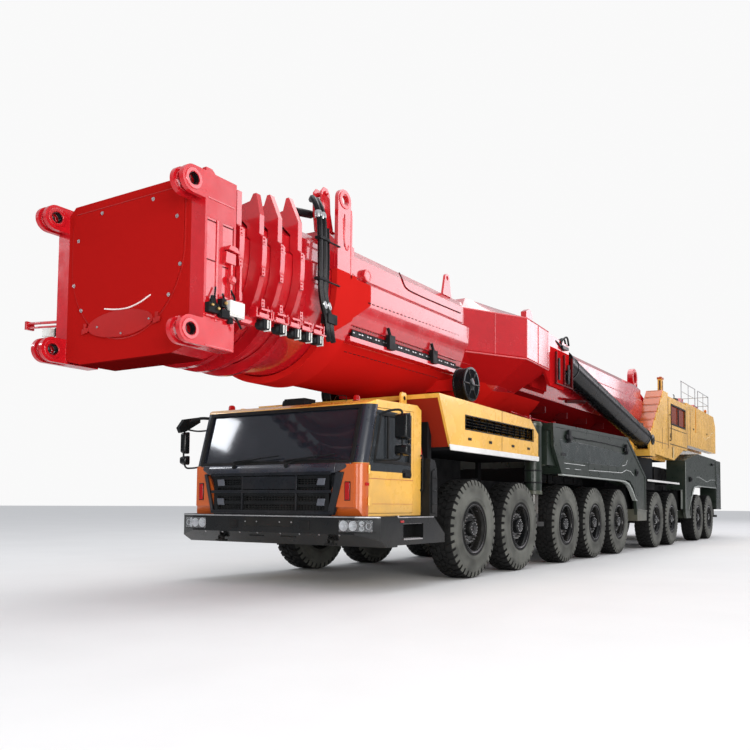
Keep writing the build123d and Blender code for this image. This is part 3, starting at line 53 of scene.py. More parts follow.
# ---------------------------------------------------------------- shaping
class Build:
    """A mesh gathered from bars, rods, plates and turned forms, shown at the end as one piece.

    Points are given for the left side; inside mirrored() they are put on the side at work.
    """

    side = 1

    def __init__(self):
        self.bm = bmesh.new()

    def face(self, verts):
        try:
            return self.bm.faces.new(verts)
        except ValueError:
            return None

    def on_side(self, point):
        x, y, z = point
        return Vector((x, y * self.side + 0.0, z))

    def boxes(self, *rows):
        for row in rows:
            self.box(row[:3], row[3:])

    def box(self, low, high):
        low, high = self.on_side(low), self.on_side(high)
        lo = [min(a, b) for a, b in zip(low, high)]
        hi = [max(a, b) for a, b in zip(low, high)]
        v = [self.bm.verts.new((x, y, z)) for x in (lo[0], hi[0]) for y in (lo[1], hi[1]) for z in (lo[2], hi[2])]
        for quad in ((0, 1, 3, 2), (4, 6, 7, 5), (0, 4, 5, 1), (2, 3, 7, 6), (0, 2, 6, 4), (1, 5, 7, 3)):
            self.face([v[i] for i in quad])
        return self

    def slab(self, corners, thickness):
        """A plate through corners, which are in order round it, grown along its normal."""
        pts = [self.on_side(c) for c in corners]
        normal = (pts[1] - pts[0]).cross(pts[2] - pts[1]).normalized() * (thickness * self.side)
        self.join(pts, [p + normal for p in pts])
        return self

    def prism(self, points, axis, low, high):
        """Points in the plane across axis, in the order of the other two axes, stretched from low to high."""
        spread = {"x": lambda a, b, t: (t, a, b), "y": lambda a, b, t: (a, t, b), "z": lambda a, b, t: (a, b, t)}[axis]
        self.between([Vector(spread(a, b, low)) for a, b in points], [Vector(spread(a, b, high)) for a, b in points])
        return self

    def between(self, first, second):
        self.join([self.on_side(p) for p in first], [self.on_side(p) for p in second])

    def join(self, first, second):
        a = [self.bm.verts.new(p) for p in first]
        b = [self.bm.verts.new(p) for p in second]
        self.face(a[::-1])
        self.face(b)
        for i in range(len(a)):
            j = (i + 1) % len(a)
            self.face([a[i], a[j], b[j], b[i]])

    def turned(self, centre, axis, profile, sides=24, closed=False):
        """A form turned about axis through centre, from (place along it, radius) pairs."""
        return self.spin(self.on_side(centre), self.on_side(axis), profile, sides, closed)

    def spin(self, centre, axis, profile, sides, closed=False):
        axis = axis.normalized()
        across = axis.orthogonal().normalized()
        other = axis.cross(across)
        rings = []
        for along, radius in profile:
            ring = []
            for i in range(sides):
                turn = 2 * math.pi * i / sides
                spot = centre + axis * along + (across * math.cos(turn) + other * math.sin(turn)) * max(radius, 1e-4)
                ring.append(self.bm.verts.new(spot))
            rings.append(ring)
        pairs = list(zip(rings, rings[1:])) + ([(rings[-1], rings[0])] if closed else [])
        for lower, upper in pairs:
            for i in range(sides):
                j = (i + 1) % sides
                self.face([lower[i], lower[j], upper[j], upper[i]])
        if not closed:
            self.face(rings[0][::-1])
            self.face(rings[-1])
        return self

    def rod(self, start, end, radius, sides=12):
        start, end = self.on_side(start), self.on_side(end)
        self.spin(start, end - start, [(0, radius), ((end - start).length, radius)], sides)
        return self

    def tube(self, points, radius, sides=8, smooth=4):
        """A pipe or hose that follows points on a smooth line."""
        line = smoothed([self.on_side(p) for p in points], smooth)
        rings = []
        up = Vector((0.13, 0.21, 1.0)).normalized()
        for i, spot in enumerate(line):
            ahead = line[min(i + 1, len(line) - 1)] - line[max(i - 1, 0)]
            ahead.normalize()
            side = ahead.cross(up)
            side = ahead.orthogonal() if side.length < 0.05 else side
            side.normalize()
            up = side.cross(ahead).normalized()
            ring = []
            for k in range(sides):
                turn = 2 * math.pi * k / sides
                ring.append(self.bm.verts.new(spot + (side * math.cos(turn) + up * math.sin(turn)) * radius))
            rings.append(ring)
        for lower, upper in zip(rings, rings[1:]):
            for k in range(sides):
                m = (k + 1) % sides
                self.face([lower[k], lower[m], upper[m], upper[k]])
        self.face(rings[0][::-1])
        self.face(rings[-1])
        return self

    def nut(self, centre, axis, radius, height, sides=6):
        self.turned(centre, axis, [(0, radius), (height * 0.85, radius), (height, radius * 0.82)], sides)
        return self

    def show(self, name, body, slot, material, bevel=0.0, segments=2):
        bmesh.ops.recalc_face_normals(self.bm, faces=self.bm.faces)
        mesh = bpy.data.meshes.new(name)
        self.bm.to_mesh(mesh)
        self.bm.free()
        mesh.shade_smooth()
        mesh.set_sharp_from_angle(angle=SHARP_ANGLE)
        piece = bpy.data.objects.new(name, mesh)
        scene.collection.objects.link(piece)
        mesh.materials.append(material)
        if bevel:
            soften = piece.modifiers.new("edges", "BEVEL")
            soften.width = bevel
            soften.segments = segments
            soften.limit_method = "ANGLE"
            soften.angle_limit = BEVEL_ANGLE
            soften.harden_normals = False
        if body:
            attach(piece, body)
        return piece


def mirrored():
    """Goes through the names of both sides; what a Build is given meanwhile lands on that side."""
    for name, side in SIDES:
        Build.side = side
        yield name
    Build.side = 1


def smoothed(points, steps):
    """Points on a smooth line through the given ones."""
    if len(points) < 3 or steps < 2:
        return points
    line = []
    ends = [points[0] * 2 - points[1]] + points + [points[-1] * 2 - points[-2]]
    for a, b, c, d in zip(ends, ends[1:], ends[2:], ends[3:]):
        for i in range(steps):
            t = i / steps
            square, cube = 2 * a - 5 * b + 4 * c - d, 3 * b - a - 3 * c + d
            line.append(0.5 * (2 * b + (c - a) * t + square * t * t + cube * t ** 3))
    line.append(points[-1])
    return line


# ---------------------------------------------------------------- materials
class Shader:
    """One procedural material under construction, in metres of the row frame."""

    def __init__(self, name, colour, rough, metal=0.0):
        self.material = bpy.data.materials.new(name)
        self.material.use_nodes = True
        self.tree = self.material.node_tree
        self.shader = self.tree.nodes["Principled BSDF"]
        self.shader.inputs["Roughness"].default_value = rough
        self.shader.inputs["Metallic"].default_value = metal
        self.shader.inputs["Base Color"].default_value = (*colour, 1)
        self.colour = self.colour_node(colour)
        self.rough = rough
        self.where = self.new("ShaderNodeTexCoord").outputs["Object"]
        self.bumps = None

    def new(self, kind, **values):
        node = self.tree.nodes.new(kind)
        for key, value in values.items():
            setattr(node, key, value)
        return node

    def link(self, source, target):
        self.tree.links.new(source, target)

    def colour_node(self, colour):
        node = self.new("ShaderNodeRGB")
        node.outputs[0].default_value = (*colour, 1)
        return node.outputs[0]

    def noise(self, scale, detail=4.0, stretch=(1, 1, 1), rough=0.55):
        mapping = self.new("ShaderNodeMapping")
        mapping.inputs["Scale"].default_value = stretch
        self.link(self.where, mapping.inputs["Vector"])
        node = self.new("ShaderNodeTexNoise")
        node.inputs["Scale"].default_value = scale
        node.inputs["Detail"].default_value = detail
        node.inputs["Roughness"].default_value = rough
        self.link(mapping.outputs[0], node.inputs["Vector"])
        return node.outputs["Fac"]

    def math(self, kind, first, second=0.0, third=None, clamp=False):
        node = self.new("ShaderNodeMath", operation=kind, use_clamp=clamp)
        for socket, value in zip(node.inputs, (first, second, third)):
            if value is None:
                continue
            if isinstance(value, (int, float)):
                socket.default_value = value
            else:
                self.link(value, socket)
        return node.outputs[0]

    def ramp(self, value, low, high, bottom=0.0, top=1.0):
        node = self.new("ShaderNodeMapRange", interpolation_type="SMOOTHSTEP")
        node.inputs["From Min"].default_value = low
        node.inputs["From Max"].default_value = high
        node.inputs["To Min"].default_value = bottom
        node.inputs["To Max"].default_value = top
        self.link(value, node.inputs["Value"])
        return node.outputs["Result"]

    def axis(self, name):
        node = self.new("ShaderNodeSeparateXYZ")
        self.link(self.where, node.inputs[0])
        return node.outputs[name]

    def mix(self, share, other):
        """Mixes another colour into the colour so far."""
        node = self.new("ShaderNodeMix", data_type="RGBA")
        self.link(share, node.inputs["Factor"])
        self.link(self.colour, node.inputs["A"])
        if isinstance(other, tuple):
            node.inputs["B"].default_value = (*other, 1)
        else:
            self.link(other, node.inputs["B"])
        self.colour = node.outputs["Result"]
        return self

    def vary(self, scale, dark, light, stretch=(1, 1, 1)):
        """Slow tone variation over the surface."""
        share = self.ramp(self.noise(scale, 5, stretch), 0.3, 0.7)
        node = self.new("ShaderNodeMix", data_type="RGBA", blend_type="MULTIPLY")
        node.inputs["Factor"].default_value = 1.0
        tone = self.new("ShaderNodeMix", data_type="RGBA")
        tone.inputs["A"].default_value = (dark, dark, dark, 1)
        tone.inputs["B"].default_value = (light, light, light, 1)
        self.link(share, tone.inputs["Factor"])
        self.link(self.colour, node.inputs["A"])
        self.link(tone.outputs["Result"], node.inputs["B"])
        self.colour = node.outputs["Result"]
        return self

    def roughen(self, scale, low, high, stretch=(1, 1, 1)):
        self.rough = self.ramp(self.noise(scale, 6, stretch), 0.3, 0.72, low, high)
        return self

    def dust(self, colour, top, bottom, most):
        """Road dust that settles on the lower parts, and its dull look."""
        height = self.ramp(self.axis("Z"), bottom, top, 1.0, 0.0)
        patch = self.ramp(self.noise(2.3, 8), 0.3, 0.75)
        share = self.math("MULTIPLY", self.math("MULTIPLY", height, patch), most)
        self.mix(share, colour)
        if not isinstance(self.rough, float):
            self.rough = self.math("ADD", self.rough, self.math("MULTIPLY", share, 0.4), clamp=True)
        return self

    def streaks(self, colour, most):
        """Runs of dirt down the upright faces."""
        share = self.ramp(self.noise(3.0, 6, (3.2, 3.2, 0.22)), 0.56, 0.76, 0.0, most)
        return self.mix(share, colour)

    def chips(self, colour, most, scale=34.0):
        share = self.ramp(self.noise(scale, 3), 0.72, 0.75, 0.0, most)
        return self.mix(share, colour)

    def bump(self, value, distance, strength=1.0):
        node = self.new("ShaderNodeBump")
        node.inputs["Distance"].default_value = distance
        node.inputs["Strength"].default_value = strength
        self.link(value, node.inputs["Height"])
        if self.bumps is not None:
            self.link(self.bumps, node.inputs["Normal"])
        self.bumps = node.outputs["Normal"]
        return self

    def inside(self, low, high, soft=0.004):
        """1 inside a box of the row frame; an axis with None is left open. Y is taken on both sides."""
        share = None
        for name, a, b in zip("XYZ", low, high):
            if a is None:
                continue
            value = self.axis(name)
            if name == "Y":
                value = self.math("ABSOLUTE", value)
            step = self.math("MULTIPLY", self.ramp(value, a - soft, a), self.ramp(value, b, b + soft, 1.0, 0.0))
            share = step if share is None else self.math("MULTIPLY", share, step)
        return share

    def shine(self, level, coat_ior=1.5):
        self.shader.inputs["Specular IOR Level"].default_value = level
        self.shader.inputs["Coat IOR"].default_value = coat_ior
        return self

    def coat(self, weight, rough=0.05):
        self.shader.inputs["Coat Weight"].default_value = weight
        self.shader.inputs["Coat Roughness"].default_value = rough
        return self

    def done(self):
        self.link(self.colour, self.shader.inputs["Base Color"])
        if not isinstance(self.rough, float):
            self.link(self.rough, self.shader.inputs["Roughness"])
        if self.bumps is not None:
            self.link(self.bumps, self.shader.inputs["Normal"])
        return self.material


DUST = (0.23, 0.19, 0.14)
RED = (0.56, 0.009, 0.016)
YELLOW = (0.90, 0.50, 0.085)
ORANGE = (0.52, 0.10, 0.014)
GREEN = (0.017, 0.026, 0.019)
BLACK = (0.010, 0.011, 0.013)


def paint(name, colour, rough=(0.2, 0.34), coat=0.5, dust_top=2.4, most=0.45, shine=0.5, coat_ior=1.5):
    """Sprayed gloss paint with an orange-peel skin, faint streaks, chips and dust low down."""
    s = Shader(name, colour, 0.3)
    s.vary(0.9, 0.86, 1.06).vary(7.0, 0.95, 1.03)
    s.streaks(tuple(c * 0.6 + 0.004 for c in colour), 0.05)
    s.chips(tuple(c * 0.3 + 0.02 for c in colour), 0.5)
    s.roughen(5.0, *rough)
    s.dust(DUST, dust_top, 0.2, most)
    s.bump(s.noise(260.0, 2), 0.0004, 0.04).bump(s.noise(1.6, 2), 0.006, 0.08)
    return s.shine(shine, coat_ior).coat(coat, 0.06)


def plain_metal(name, colour, rough, metal=1.0):
    s = Shader(name, colour, 0.3, metal)
    s.vary(4.0, 0.8, 1.1).roughen(18.0, *rough, stretch=(1, 1, 0.3))
    s.dust(DUST, 1.6, 0.1, 0.4)
    return s.bump(s.noise(140.0, 3), 0.0004, 0.3)


def moulded(name, colour, rough=(0.38, 0.6), grain=0.0006, shine=0.15):
    """Moulded plastic or powder coat, finely grained."""
    s = Shader(name, colour, 0.4)
    s.vary(3.0, 0.8, 1.2).roughen(9.0, *rough)
    s.dust(DUST, 2.0, 0.1, 0.10)
    return s.bump(s.noise(420.0, 2), grain, 0.5).shine(shine)


red_paint = paint("boom_red", RED, (0.14, 0.30), 0.8, coat_ior=1.65).done()
# The head face's darker red is painted shade; the cover seam and hatch on that face take it too.
head_face_shade_red = paint("head_face_painted_shade", (0.40, 0.009, 0.008), (0.34, 0.46), 0.0, shine=0.15).done()
yellow_paint = paint("body_yellow", YELLOW, (0.22, 0.36), 0.35, most=0.2).done()
orange_paint = paint("corner_orange", ORANGE, (0.24, 0.38), 0.4).done()
green_paint = paint("arm_green", GREEN, (0.26, 0.42), 0.12, 1.5, 0.3, 0.35).done()
chassis_black = paint("chassis_black", (0.008, 0.008, 0.009), (0.4, 0.65), 0.0, 1.4, 0.06, 0.12).done()
barrel_black = paint("barrel_black", (0.008, 0.008, 0.009), (0.20, 0.30), 0.04, most=0.0, shine=0.10).done()
gloss_black = paint("gloss_black", (0.006, 0.007, 0.008), (0.14, 0.28), 0.12, 1.6, 0.05, 0.2).done()
black_plastic = moulded("black_plastic", (0.008, 0.009, 0.010)).done()
grille_plastic = moulded("grille_plastic", (0.010, 0.012, 0.016), (0.25, 0.4)).done()
grey_paint = paint("machine_grey", (0.33, 0.34, 0.35), (0.34, 0.52), 0.15).done()
steel = plain_metal("bare_steel", (0.52, 0.52, 0.53), (0.24, 0.5)).done()
chrome = plain_metal("chrome", (0.80, 0.80, 0.82), (0.06, 0.18)).done()
white_plastic = moulded("white_plastic", (0.75, 0.75, 0.72)).done()
hose_rubber = moulded("hose_rubber", (0.005, 0.005, 0.006), (0.22, 0.36), shine=0.2).done()
seal_rubber = moulded("seal_rubber", (0.012, 0.012, 0.012), (0.5, 0.7)).done()
brass = plain_metal("fitting_brass", (0.62, 0.42, 0.16), (0.25, 0.45)).done()
rope_steel = plain_metal("rope_steel", (0.30, 0.29, 0.27), (0.4, 0.6)).done()
fabric = moulded("seat_fabric", (0.03, 0.032, 0.04), (0.75, 0.9), 0.0012).done()


def glass(name, colour, rough=0.03, clear=0.75):
    s = Shader(name, colour, 0.03)
    s.rough = s.ramp(s.noise(2.0, 3), 0.35, 0.8, rough, rough + 0.03)
    s.shader.inputs["Transmission Weight"].default_value = clear
    s.shader.inputs["IOR"].default_value = 1.45
    return s.done()


cab_glass_material = glass("cab_glass", (0.022, 0.026, 0.036), 0.05, 0.35)
lamp_glass = glass("lamp_glass", (0.93, 0.95, 0.97), 0.02, 0.92)
lamp_white = moulded("lamp_white", (0.85, 0.86, 0.88), (0.2, 0.3), shine=0.6).done()
amber_lens = glass("amber_lens", (0.95, 0.28, 0.02), 0.08, 0.5)
red_lens = glass("red_lens", (0.75, 0.02, 0.02), 0.08, 0.5)

# Pale paint for the lip above the head's hatch: a painted highlight on its edge.
pale_lip_highlight = paint("pale_lip_highlight", (0.93, 0.80, 0.78), (0.25, 0.35), 0.3).done()
# Deep red for grooves, clips and saddle ribs; on the rod and bars under the boom's rear it is painted shade.
deep_red_and_shade = paint("deep_red_and_shade", (0.10, 0.003, 0.004), (0.4, 0.5), 0.0, shine=0.1).done()
# Pale pink for lit edges and rims of the boom: painted highlight.
pink_edge_highlight = paint("pink_edge_highlight", (0.72, 0.11, 0.12), (0.2, 0.35), 0.4).done()
blue_black = paint("blue_black", (0.014, 0.018, 0.032), (0.16, 0.3), 0.4).done()
vent_grey = moulded("vent_grey", (0.10, 0.11, 0.13), (0.25, 0.4)).done()
deck_white = paint("deck_white", (0.78, 0.78, 0.76), (0.35, 0.5), 0.1, 1.4, 0.3).done()
seam_brown = paint("seam_brown", (0.10, 0.045, 0.012), (0.5, 0.7), 0.0).done()
# Light grey-green on the arms' top lips, edges and weld beads: painted highlight.
green_edge_highlight = paint("green_edge_highlight", (0.34, 0.37, 0.35), (0.3, 0.42), 0.3).done()
foot_green = paint("foot_green", (0.050, 0.062, 0.040), (0.3, 0.45), 0.2).done()
panel_green = paint("panel_green", (0.030, 0.040, 0.038), (0.16, 0.28), 0.5, 1.5, 0.2).done()
crane_glass = glass("crane_glass", (0.40, 0.055, 0.012), 0.06, 0.35)
# Pale yellow for the house's step edges: painted highlight.
yellow_edge_highlight = paint("yellow_edge_highlight", (0.90, 0.66, 0.30), (0.3, 0.4), 0.2).done()
rail_grey = paint("rail_grey", (0.42, 0.44, 0.46), (0.3, 0.45), 0.1).done()

def tyre_rubber():
    """Tyre rubber: browner and dustier on the sidewall, with faint moulded rings."""
    s = Shader("tyre_rubber", (0.012, 0.012, 0.012), 0.75).shine(0.15)
    s.vary(5.0, 0.7, 1.25)
    across, up = s.axis("X"), s.axis("Z")
    radius = s.math("SQRT", s.math("ADD", s.math("MULTIPLY", across, across), s.math("MULTIPLY", up, up)))
    shoulder = s.math("MINIMUM", s.math("MULTIPLY_ADD", s.math("SUBTRACT", 0.70, radius), 0.25, 0.195), 0.205)
    face = s.ramp(s.math("SUBTRACT", s.math("ABSOLUTE", s.axis("Y")), shoulder), -0.002, 0.003)
    wall = s.math("MULTIPLY", s.ramp(radius, 0.36, 0.42), face)
    dusty = s.math("MULTIPLY", wall, s.ramp(s.noise(3.0, 8), 0.25, 0.7, 0.35, 0.95))
    s.mix(s.math("MULTIPLY", dusty, 0.9), (0.165, 0.168, 0.150))
    s.mix(s.ramp(s.noise(14.0, 6), 0.55, 0.8, 0.0, 0.12), (0.13, 0.125, 0.11))
    s.rough = s.ramp(s.noise(12.0, 5), 0.3, 0.7, 0.62, 0.9)
    rings = s.math("SINE", s.math("MULTIPLY", radius, 420.0))
    s.bump(s.math("MULTIPLY", rings, s.math("MULTIPLY", s.ramp(radius, 0.40, 0.42),
        s.ramp(radius, 0.46, 0.48, 1.0, 0.0))), 0.0015, 0.6)
    return s.bump(s.noise(120.0, 4), 0.0012, 0.5).done()


tyre_material = tyre_rubber()


def paint_areas_and_shade(material_name, base, masks, part=None, **values):
    """A copy of a paint with other colours inside boxes, some of them own colours and some painted shade: (low, high,
    colour, rough) rows; part gives one more area.
    """
    s = paint(material_name, base, **values)
    dull = None
    if part is not None:
        dull = part(s)
        s.mix(dull, (0.56, 0.016, 0.013))
    for low, high, colour, rough in masks:
        share = s.inside(low, high)
        s.mix(share, colour)
        if rough is not None and rough > 0.4:
            dull = share if dull is None else s.math("MAXIMUM", dull, share)
        if rough is not None:
            blend = s.new("ShaderNodeMix", data_type="FLOAT")
            s.link(share, blend.inputs["Factor"])
            s.link(s.rough, blend.inputs["A"])
            blend.inputs["B"].default_value = rough
            s.rough = blend.outputs["Result"]
    if dull is not None:
        for socket in ("Specular IOR Level", "Coat Weight"):
            level = s.shader.inputs[socket].default_value
            s.link(s.math("MULTIPLY", s.math("SUBTRACT", 1.0, dull), level), s.shader.inputs[socket])
    return s.done()


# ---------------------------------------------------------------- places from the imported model
boom_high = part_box("boom_base")[1]
head_low, head_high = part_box("boom_section_5")
cab_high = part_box("cab_shell")[1]
bumper_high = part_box("front_bumper")[1]
housing_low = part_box("engine_housing")[0]
house_low, house_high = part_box("machinery_house")
crane_cab_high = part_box("crane_cab")[1]
winch_low, winch_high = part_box("winch")

# ---------------------------------------------------------------- finishes of the imported nodes, some with painted shade
def front_band(s):
    """The duller band round the front of the boom's base, with its slanting rear edge."""
    x, y, z = s.axis("X"), s.math("ABSOLUTE", s.axis("Y")), s.axis("Z")
    edge = s.math("MULTIPLY_ADD", s.math("MAXIMUM", s.math("SUBTRACT", 3.76, z), 0.0), 1.45, 9.36)
    share = s.math("MULTIPLY", s.ramp(s.math("SUBTRACT", x, edge), -0.006, 0.006), s.ramp(z, 3.20, 3.21))
    share = s.math("MULTIPLY", share, s.ramp(z, 4.04, 4.05, 1.0, 0.0))
    return s.math("MULTIPLY", share, s.ramp(y, 0.90, 0.92))


# Painted shade in rows two to five: darker red under the saddle, under the boom's rear, round its rear end and on the
# saddle's rear flank. The first row is the hose reel's own black; the last keeps nearly the base red and is duller.
boom_base_paint_and_shade = paint_areas_and_shade("boom_base_red_and_painted_shade", RED, (
    ((6.55, 1.15, 2.6), (7.35, 1.6, 3.4), BLACK, 0.42),
    ((3.0, 1.0, 3.2), (6.62, 1.8, 3.66), (0.36, 0.007, 0.008), 0.55),
    ((-6.0, 0.0, 2.4), (4.3, 1.06, 3.30), (0.14, 0.003, 0.004), 0.7),
    ((-5.6, 0.55, 3.95), (-4.05, 1.3, 4.80), (0.46, 0.006, 0.010), 0.6),
    ((3.0, 1.45, 3.3), (4.16, 1.75, 4.10), (0.50, 0.008, 0.010), 0.55),
    ((3.0, 0.0, 2.4), (10.3, 1.045, 3.22), (0.56, 0.012, 0.010), 0.5),
), part=front_band, rough=(0.14, 0.30), coat=0.8, coat_ior=1.75)
door_finish = paint_areas_and_shade("door_yellow", YELLOW, (
    ((8.85, 1.3, 1.52), (9.84, 1.6, 2.31), (0.03, 0.035, 0.04), 0.06),
))
# The first row is the black of the slot above the side grille; the second, red-brown on the front face behind the cab,
# is painted shade.
housing_paint_and_shade = paint_areas_and_shade("housing_yellow_and_painted_shade", YELLOW, (
    ((housing_low[0] + 0.19, 1.2, 2.22), (7.69, 1.672, 2.43), (0.003, 0.003, 0.003), 0.5),
    ((7.95, 0.0, 1.9), (8.6, 1.640, 2.60), (0.26, 0.022, 0.010), 0.5),
))
# Painted shade: the head's front face is darker red and its underside nearly black.
head_paint_and_shade = paint_areas_and_shade("boom_head_red_and_painted_shade", RED, (
    ((head_high[0] - 0.302, 0.0, 2.6), (head_high[0] - 0.15, 0.99, 4.48), (0.40, 0.009, 0.008), 0.42),
    ((11.6, 0.0, 2.3), (head_high[0] - 0.15, 1.05, head_low[2] + 0.012), (0.13, 0.003, 0.003), 0.75),
), rough=(0.14, 0.30), coat=0.3, shine=0.4)


def cab_paint():
    """Yellow, with dark screen pillars, orange lower corners and a dark front behind the grille."""
    s = paint("cab_yellow", YELLOW, (0.22, 0.36), 0.5)
    x, y, z = s.axis("X"), s.math("ABSOLUTE", s.axis("Y")), s.axis("Z")
    door_edge = s.math("MULTIPLY_ADD", s.math("SUBTRACT", z, 1.62), -0.25, 9.85)
    pillar = s.ramp(s.math("SUBTRACT", x, door_edge), -0.004, 0.004)
    pillar = s.math("MULTIPLY", pillar, s.ramp(z, 1.615, 1.620))
    pillar = s.math("MULTIPLY", pillar, s.ramp(z, 2.375, 2.380, 1.0, 0.0))
    corner = s.math("MULTIPLY", s.ramp(x, 9.852, 9.858), s.ramp(z, 1.612, 1.617, 1.0, 0.0))
    s.mix(corner, ORANGE)
    s.mix(pillar, (0.016, 0.020, 0.030))
    inner = s.math("MULTIPLY_ADD", s.math("MAXIMUM", s.math("SUBTRACT", z, 1.28), 0.0), 0.5625, 1.02)
    middle = s.math("MULTIPLY", s.ramp(s.math("SUBTRACT", inner, y), -0.004, 0.004), s.ramp(x, 9.97, 9.98))
    s.mix(s.math("MULTIPLY", middle, s.ramp(z, 1.612, 1.617, 1.0, 0.0)), (0.012, 0.013, 0.016))
    return s.done()


cab_finish = cab_paint()
jack_finish = paint_areas_and_shade("jack_grey", (0.05, 0.052, 0.055), (
    ((None, None, 0.0), (None, None, 0.95), (0.06, 0.06, 0.06), 0.5),
), rough=(0.2, 0.4))
deck_finish = paint_areas_and_shade("deck_black_and_silver", (0.62, 0.62, 0.60), (
    ((-13.0, 0.0, 0.5), (8.36, 1.668, 2.0), (0.012, 0.012, 0.013), 0.6),
), rough=(0.3, 0.5), coat=0.1)
turntable_finish = paint_areas_and_shade("turntable_yellow", YELLOW, (
    ((-9.0, 0.0, 1.5), (0.0, 3.0, 2.43), (0.03, 0.032, 0.034), 0.45),
))
NODE_FINISHES = (
    ("boom_section_5", head_paint_and_shade), ("boom_section_", red_paint), ("boom_base", boom_base_paint_and_shade),
    ("cab_door", door_finish), ("cab_shell", cab_finish),
    ("cab_glass", cab_glass_material), ("cab_interior", fabric), ("engine_housing", housing_paint_and_shade),
    ("deck_panels", deck_finish), ("front_bumper", gloss_black), ("chassis_frame", chassis_black),
    ("axle_beams", chassis_black), ("knuckle", chassis_black), ("turntable", turntable_finish),
    ("machinery_house", yellow_paint), ("crane_cab", yellow_paint), ("winch", red_paint),
    ("luff_barrels", barrel_black), ("luff_rods", chrome), ("outrigger_arm", green_paint),
    ("outrigger_beam", green_paint), ("outrigger_jack", jack_finish),
)
for node_name, node in nodes.items():
    for prefix, finish in NODE_FINISHES:
        if node_name.startswith(prefix):
            for place in node.material_slots:
                place.material = finish
            break

# ---------------------------------------------------------------- wheels
TYRE_PROFILE = (
    (-0.168, 0.345), (-0.192, 0.372), (-0.206, 0.41), (-0.2125, 0.455), (-0.2165, 0.46), (-0.2165, 0.472),
    (-0.214, 0.478), (-0.215, 0.54), (-0.2125, 0.59), (-0.2155, 0.598), (-0.2140, 0.612), (-0.205, 0.655),
    (-0.19, 0.697), (-0.16, 0.719), (-0.07, 0.7235), (0.07, 0.7235), (0.16, 0.719), (0.19, 0.697), (0.205, 0.655),
    (0.2140, 0.612), (0.2155, 0.598), (0.2125, 0.59), (0.215, 0.54), (0.214, 0.478), (0.2165, 0.472), (0.2165, 0.46),
    (0.2125, 0.455), (0.206, 0.41), (0.192, 0.372), (0.168, 0.345),
)
LUG_SHOULDER = ((0.078, 0.715), (0.078, 0.7445), (0.150, 0.7435), (0.186, 0.733), (0.2035, 0.704), (0.2145, 0.645),
    (0.2085, 0.634), (0.185, 0.69), (0.15, 0.712))
LUG_COUNT = 38
RIM_PROFILE = (
    (0.182, 0.372), (0.197, 0.379), (0.208, 0.368), (0.203, 0.352), (0.188, 0.345), (0.170, 0.332), (0.120, 0.322),
    (-0.150, 0.322), (-0.188, 0.345), (-0.203, 0.352), (-0.208, 0.368), (-0.197, 0.379), (-0.182, 0.372),
    (-0.165, 0.347), (0.165, 0.347),
)
HUB_PROFILE = ((-0.140, 0.15), (0.060, 0.165), (0.098, 0.165), (0.108, 0.158), (0.112, 0.120), (0.150, 0.116),
    (0.186, 0.109), (0.197, 0.098), (0.200, 0.040), (0.207, 0.036), (0.207, 0.001))
HAND_HOLES = 10
TYRE_SIDES, RIM_SIDES, HUB_SIDES = 72, 48, 32
DISC_LEVELS = ((0.150, 0.100), (0.232, 0.100), (0.248, 0.092), (0.300, 0.070), (0.326, 0.078))
HOLE_RADIUS, DISC_THICKNESS = 0.248, 0.016
WHEEL_NUTS, NUT_CIRCLE = 20, 0.204
HUB_BOLTS, HUB_CIRCLE = 12, 0.092


def lug_ring(build, profile, count, share, slant, phase):
    """Tread blocks round the tyre: a cross-section of (across, radius), share of the pitch long, slanted."""
    pitch = 2 * math.pi / count
    for i in range(count):
        ends = []
        for edge in (0, 1):
            corners = []
            for across, radius in profile:
                lean = slant * (abs(across) - 0.078) / 0.14
                turn = pitch * (i + phase + share * (edge - 0.5)) + lean
                corners.append(Vector((math.cos(turn) * radius, across, math.sin(turn) * radius)))
            ends.append(corners)
        build.between(*ends)


def make_wheel_meshes():
    tyre = Build()
    tyre.turned((0, 0, 0), ACROSS, TYRE_PROFILE, TYRE_SIDES, closed=True)
    for sign, phase in ((1, 0.0), (-1, 0.5)):
        lug_ring(tyre, [(sign * a, r) for a, r in LUG_SHOULDER], LUG_COUNT, 0.62, 0.05, phase)
        block = [(sign * a, r) for a, r in ((0.008, 0.715), (0.008, 0.7445), (0.066, 0.7445), (0.066, 0.715))]
        lug_ring(tyre, block, LUG_COUNT, 0.68, -0.06, phase + 0.25)
    rim = Build()
    rim.turned((0, 0, 0), ACROSS, RIM_PROFILE, RIM_SIDES, closed=True)
    lock_ring = [(0.190, 0.347), (0.206, 0.349), (0.206, 0.338), (0.190, 0.338)]
    rim.turned((0, 0, 0), ACROSS, lock_ring, RIM_SIDES, closed=True)
    rim.turned((0, 0, 0), ACROSS, HUB_PROFILE, HUB_SIDES)
    steps = HAND_HOLES * 4
    for step in range(steps):
        turns = [2 * math.pi * (step + k) / steps for k in (0, 1)]
        for (r1, y1), (r2, y2) in zip(DISC_LEVELS, DISC_LEVELS[1:]):
            if r1 == HOLE_RADIUS and step % 4 in (1, 2):
                continue
            spots = [Vector((math.cos(t) * r, y, math.sin(t) * r)) for t, r,
                y in ((turns[0], r1, y1), (turns[0], r2, y2), (turns[1], r2, y2), (turns[1], r1, y1))]
            rim.between(spots, [p - Vector((0, DISC_THICKNESS, 0)) for p in spots])
    nuts = Build()
    for i in range(WHEEL_NUTS):
        turn = 2 * math.pi * i / WHEEL_NUTS
        x, z = math.cos(turn) * NUT_CIRCLE, math.sin(turn) * NUT_CIRCLE
        nuts.nut((x, 0.100, z), ACROSS, 0.0145, 0.030)
        nuts.rod((x, 0.128, z), (x, 0.142, z), 0.0075, 6)
    for i in range(HUB_BOLTS):
        turn = 2 * math.pi * (i + 0.5) / HUB_BOLTS
        nuts.nut((math.cos(turn) * HUB_CIRCLE, 0.186, math.sin(turn) * HUB_CIRCLE), ACROSS, 0.008, 0.016)
    nuts.rod((0.335, 0.06, 0), (0.318, 0.150, 0), 0.006, 6)
    return tyre, rim, nuts


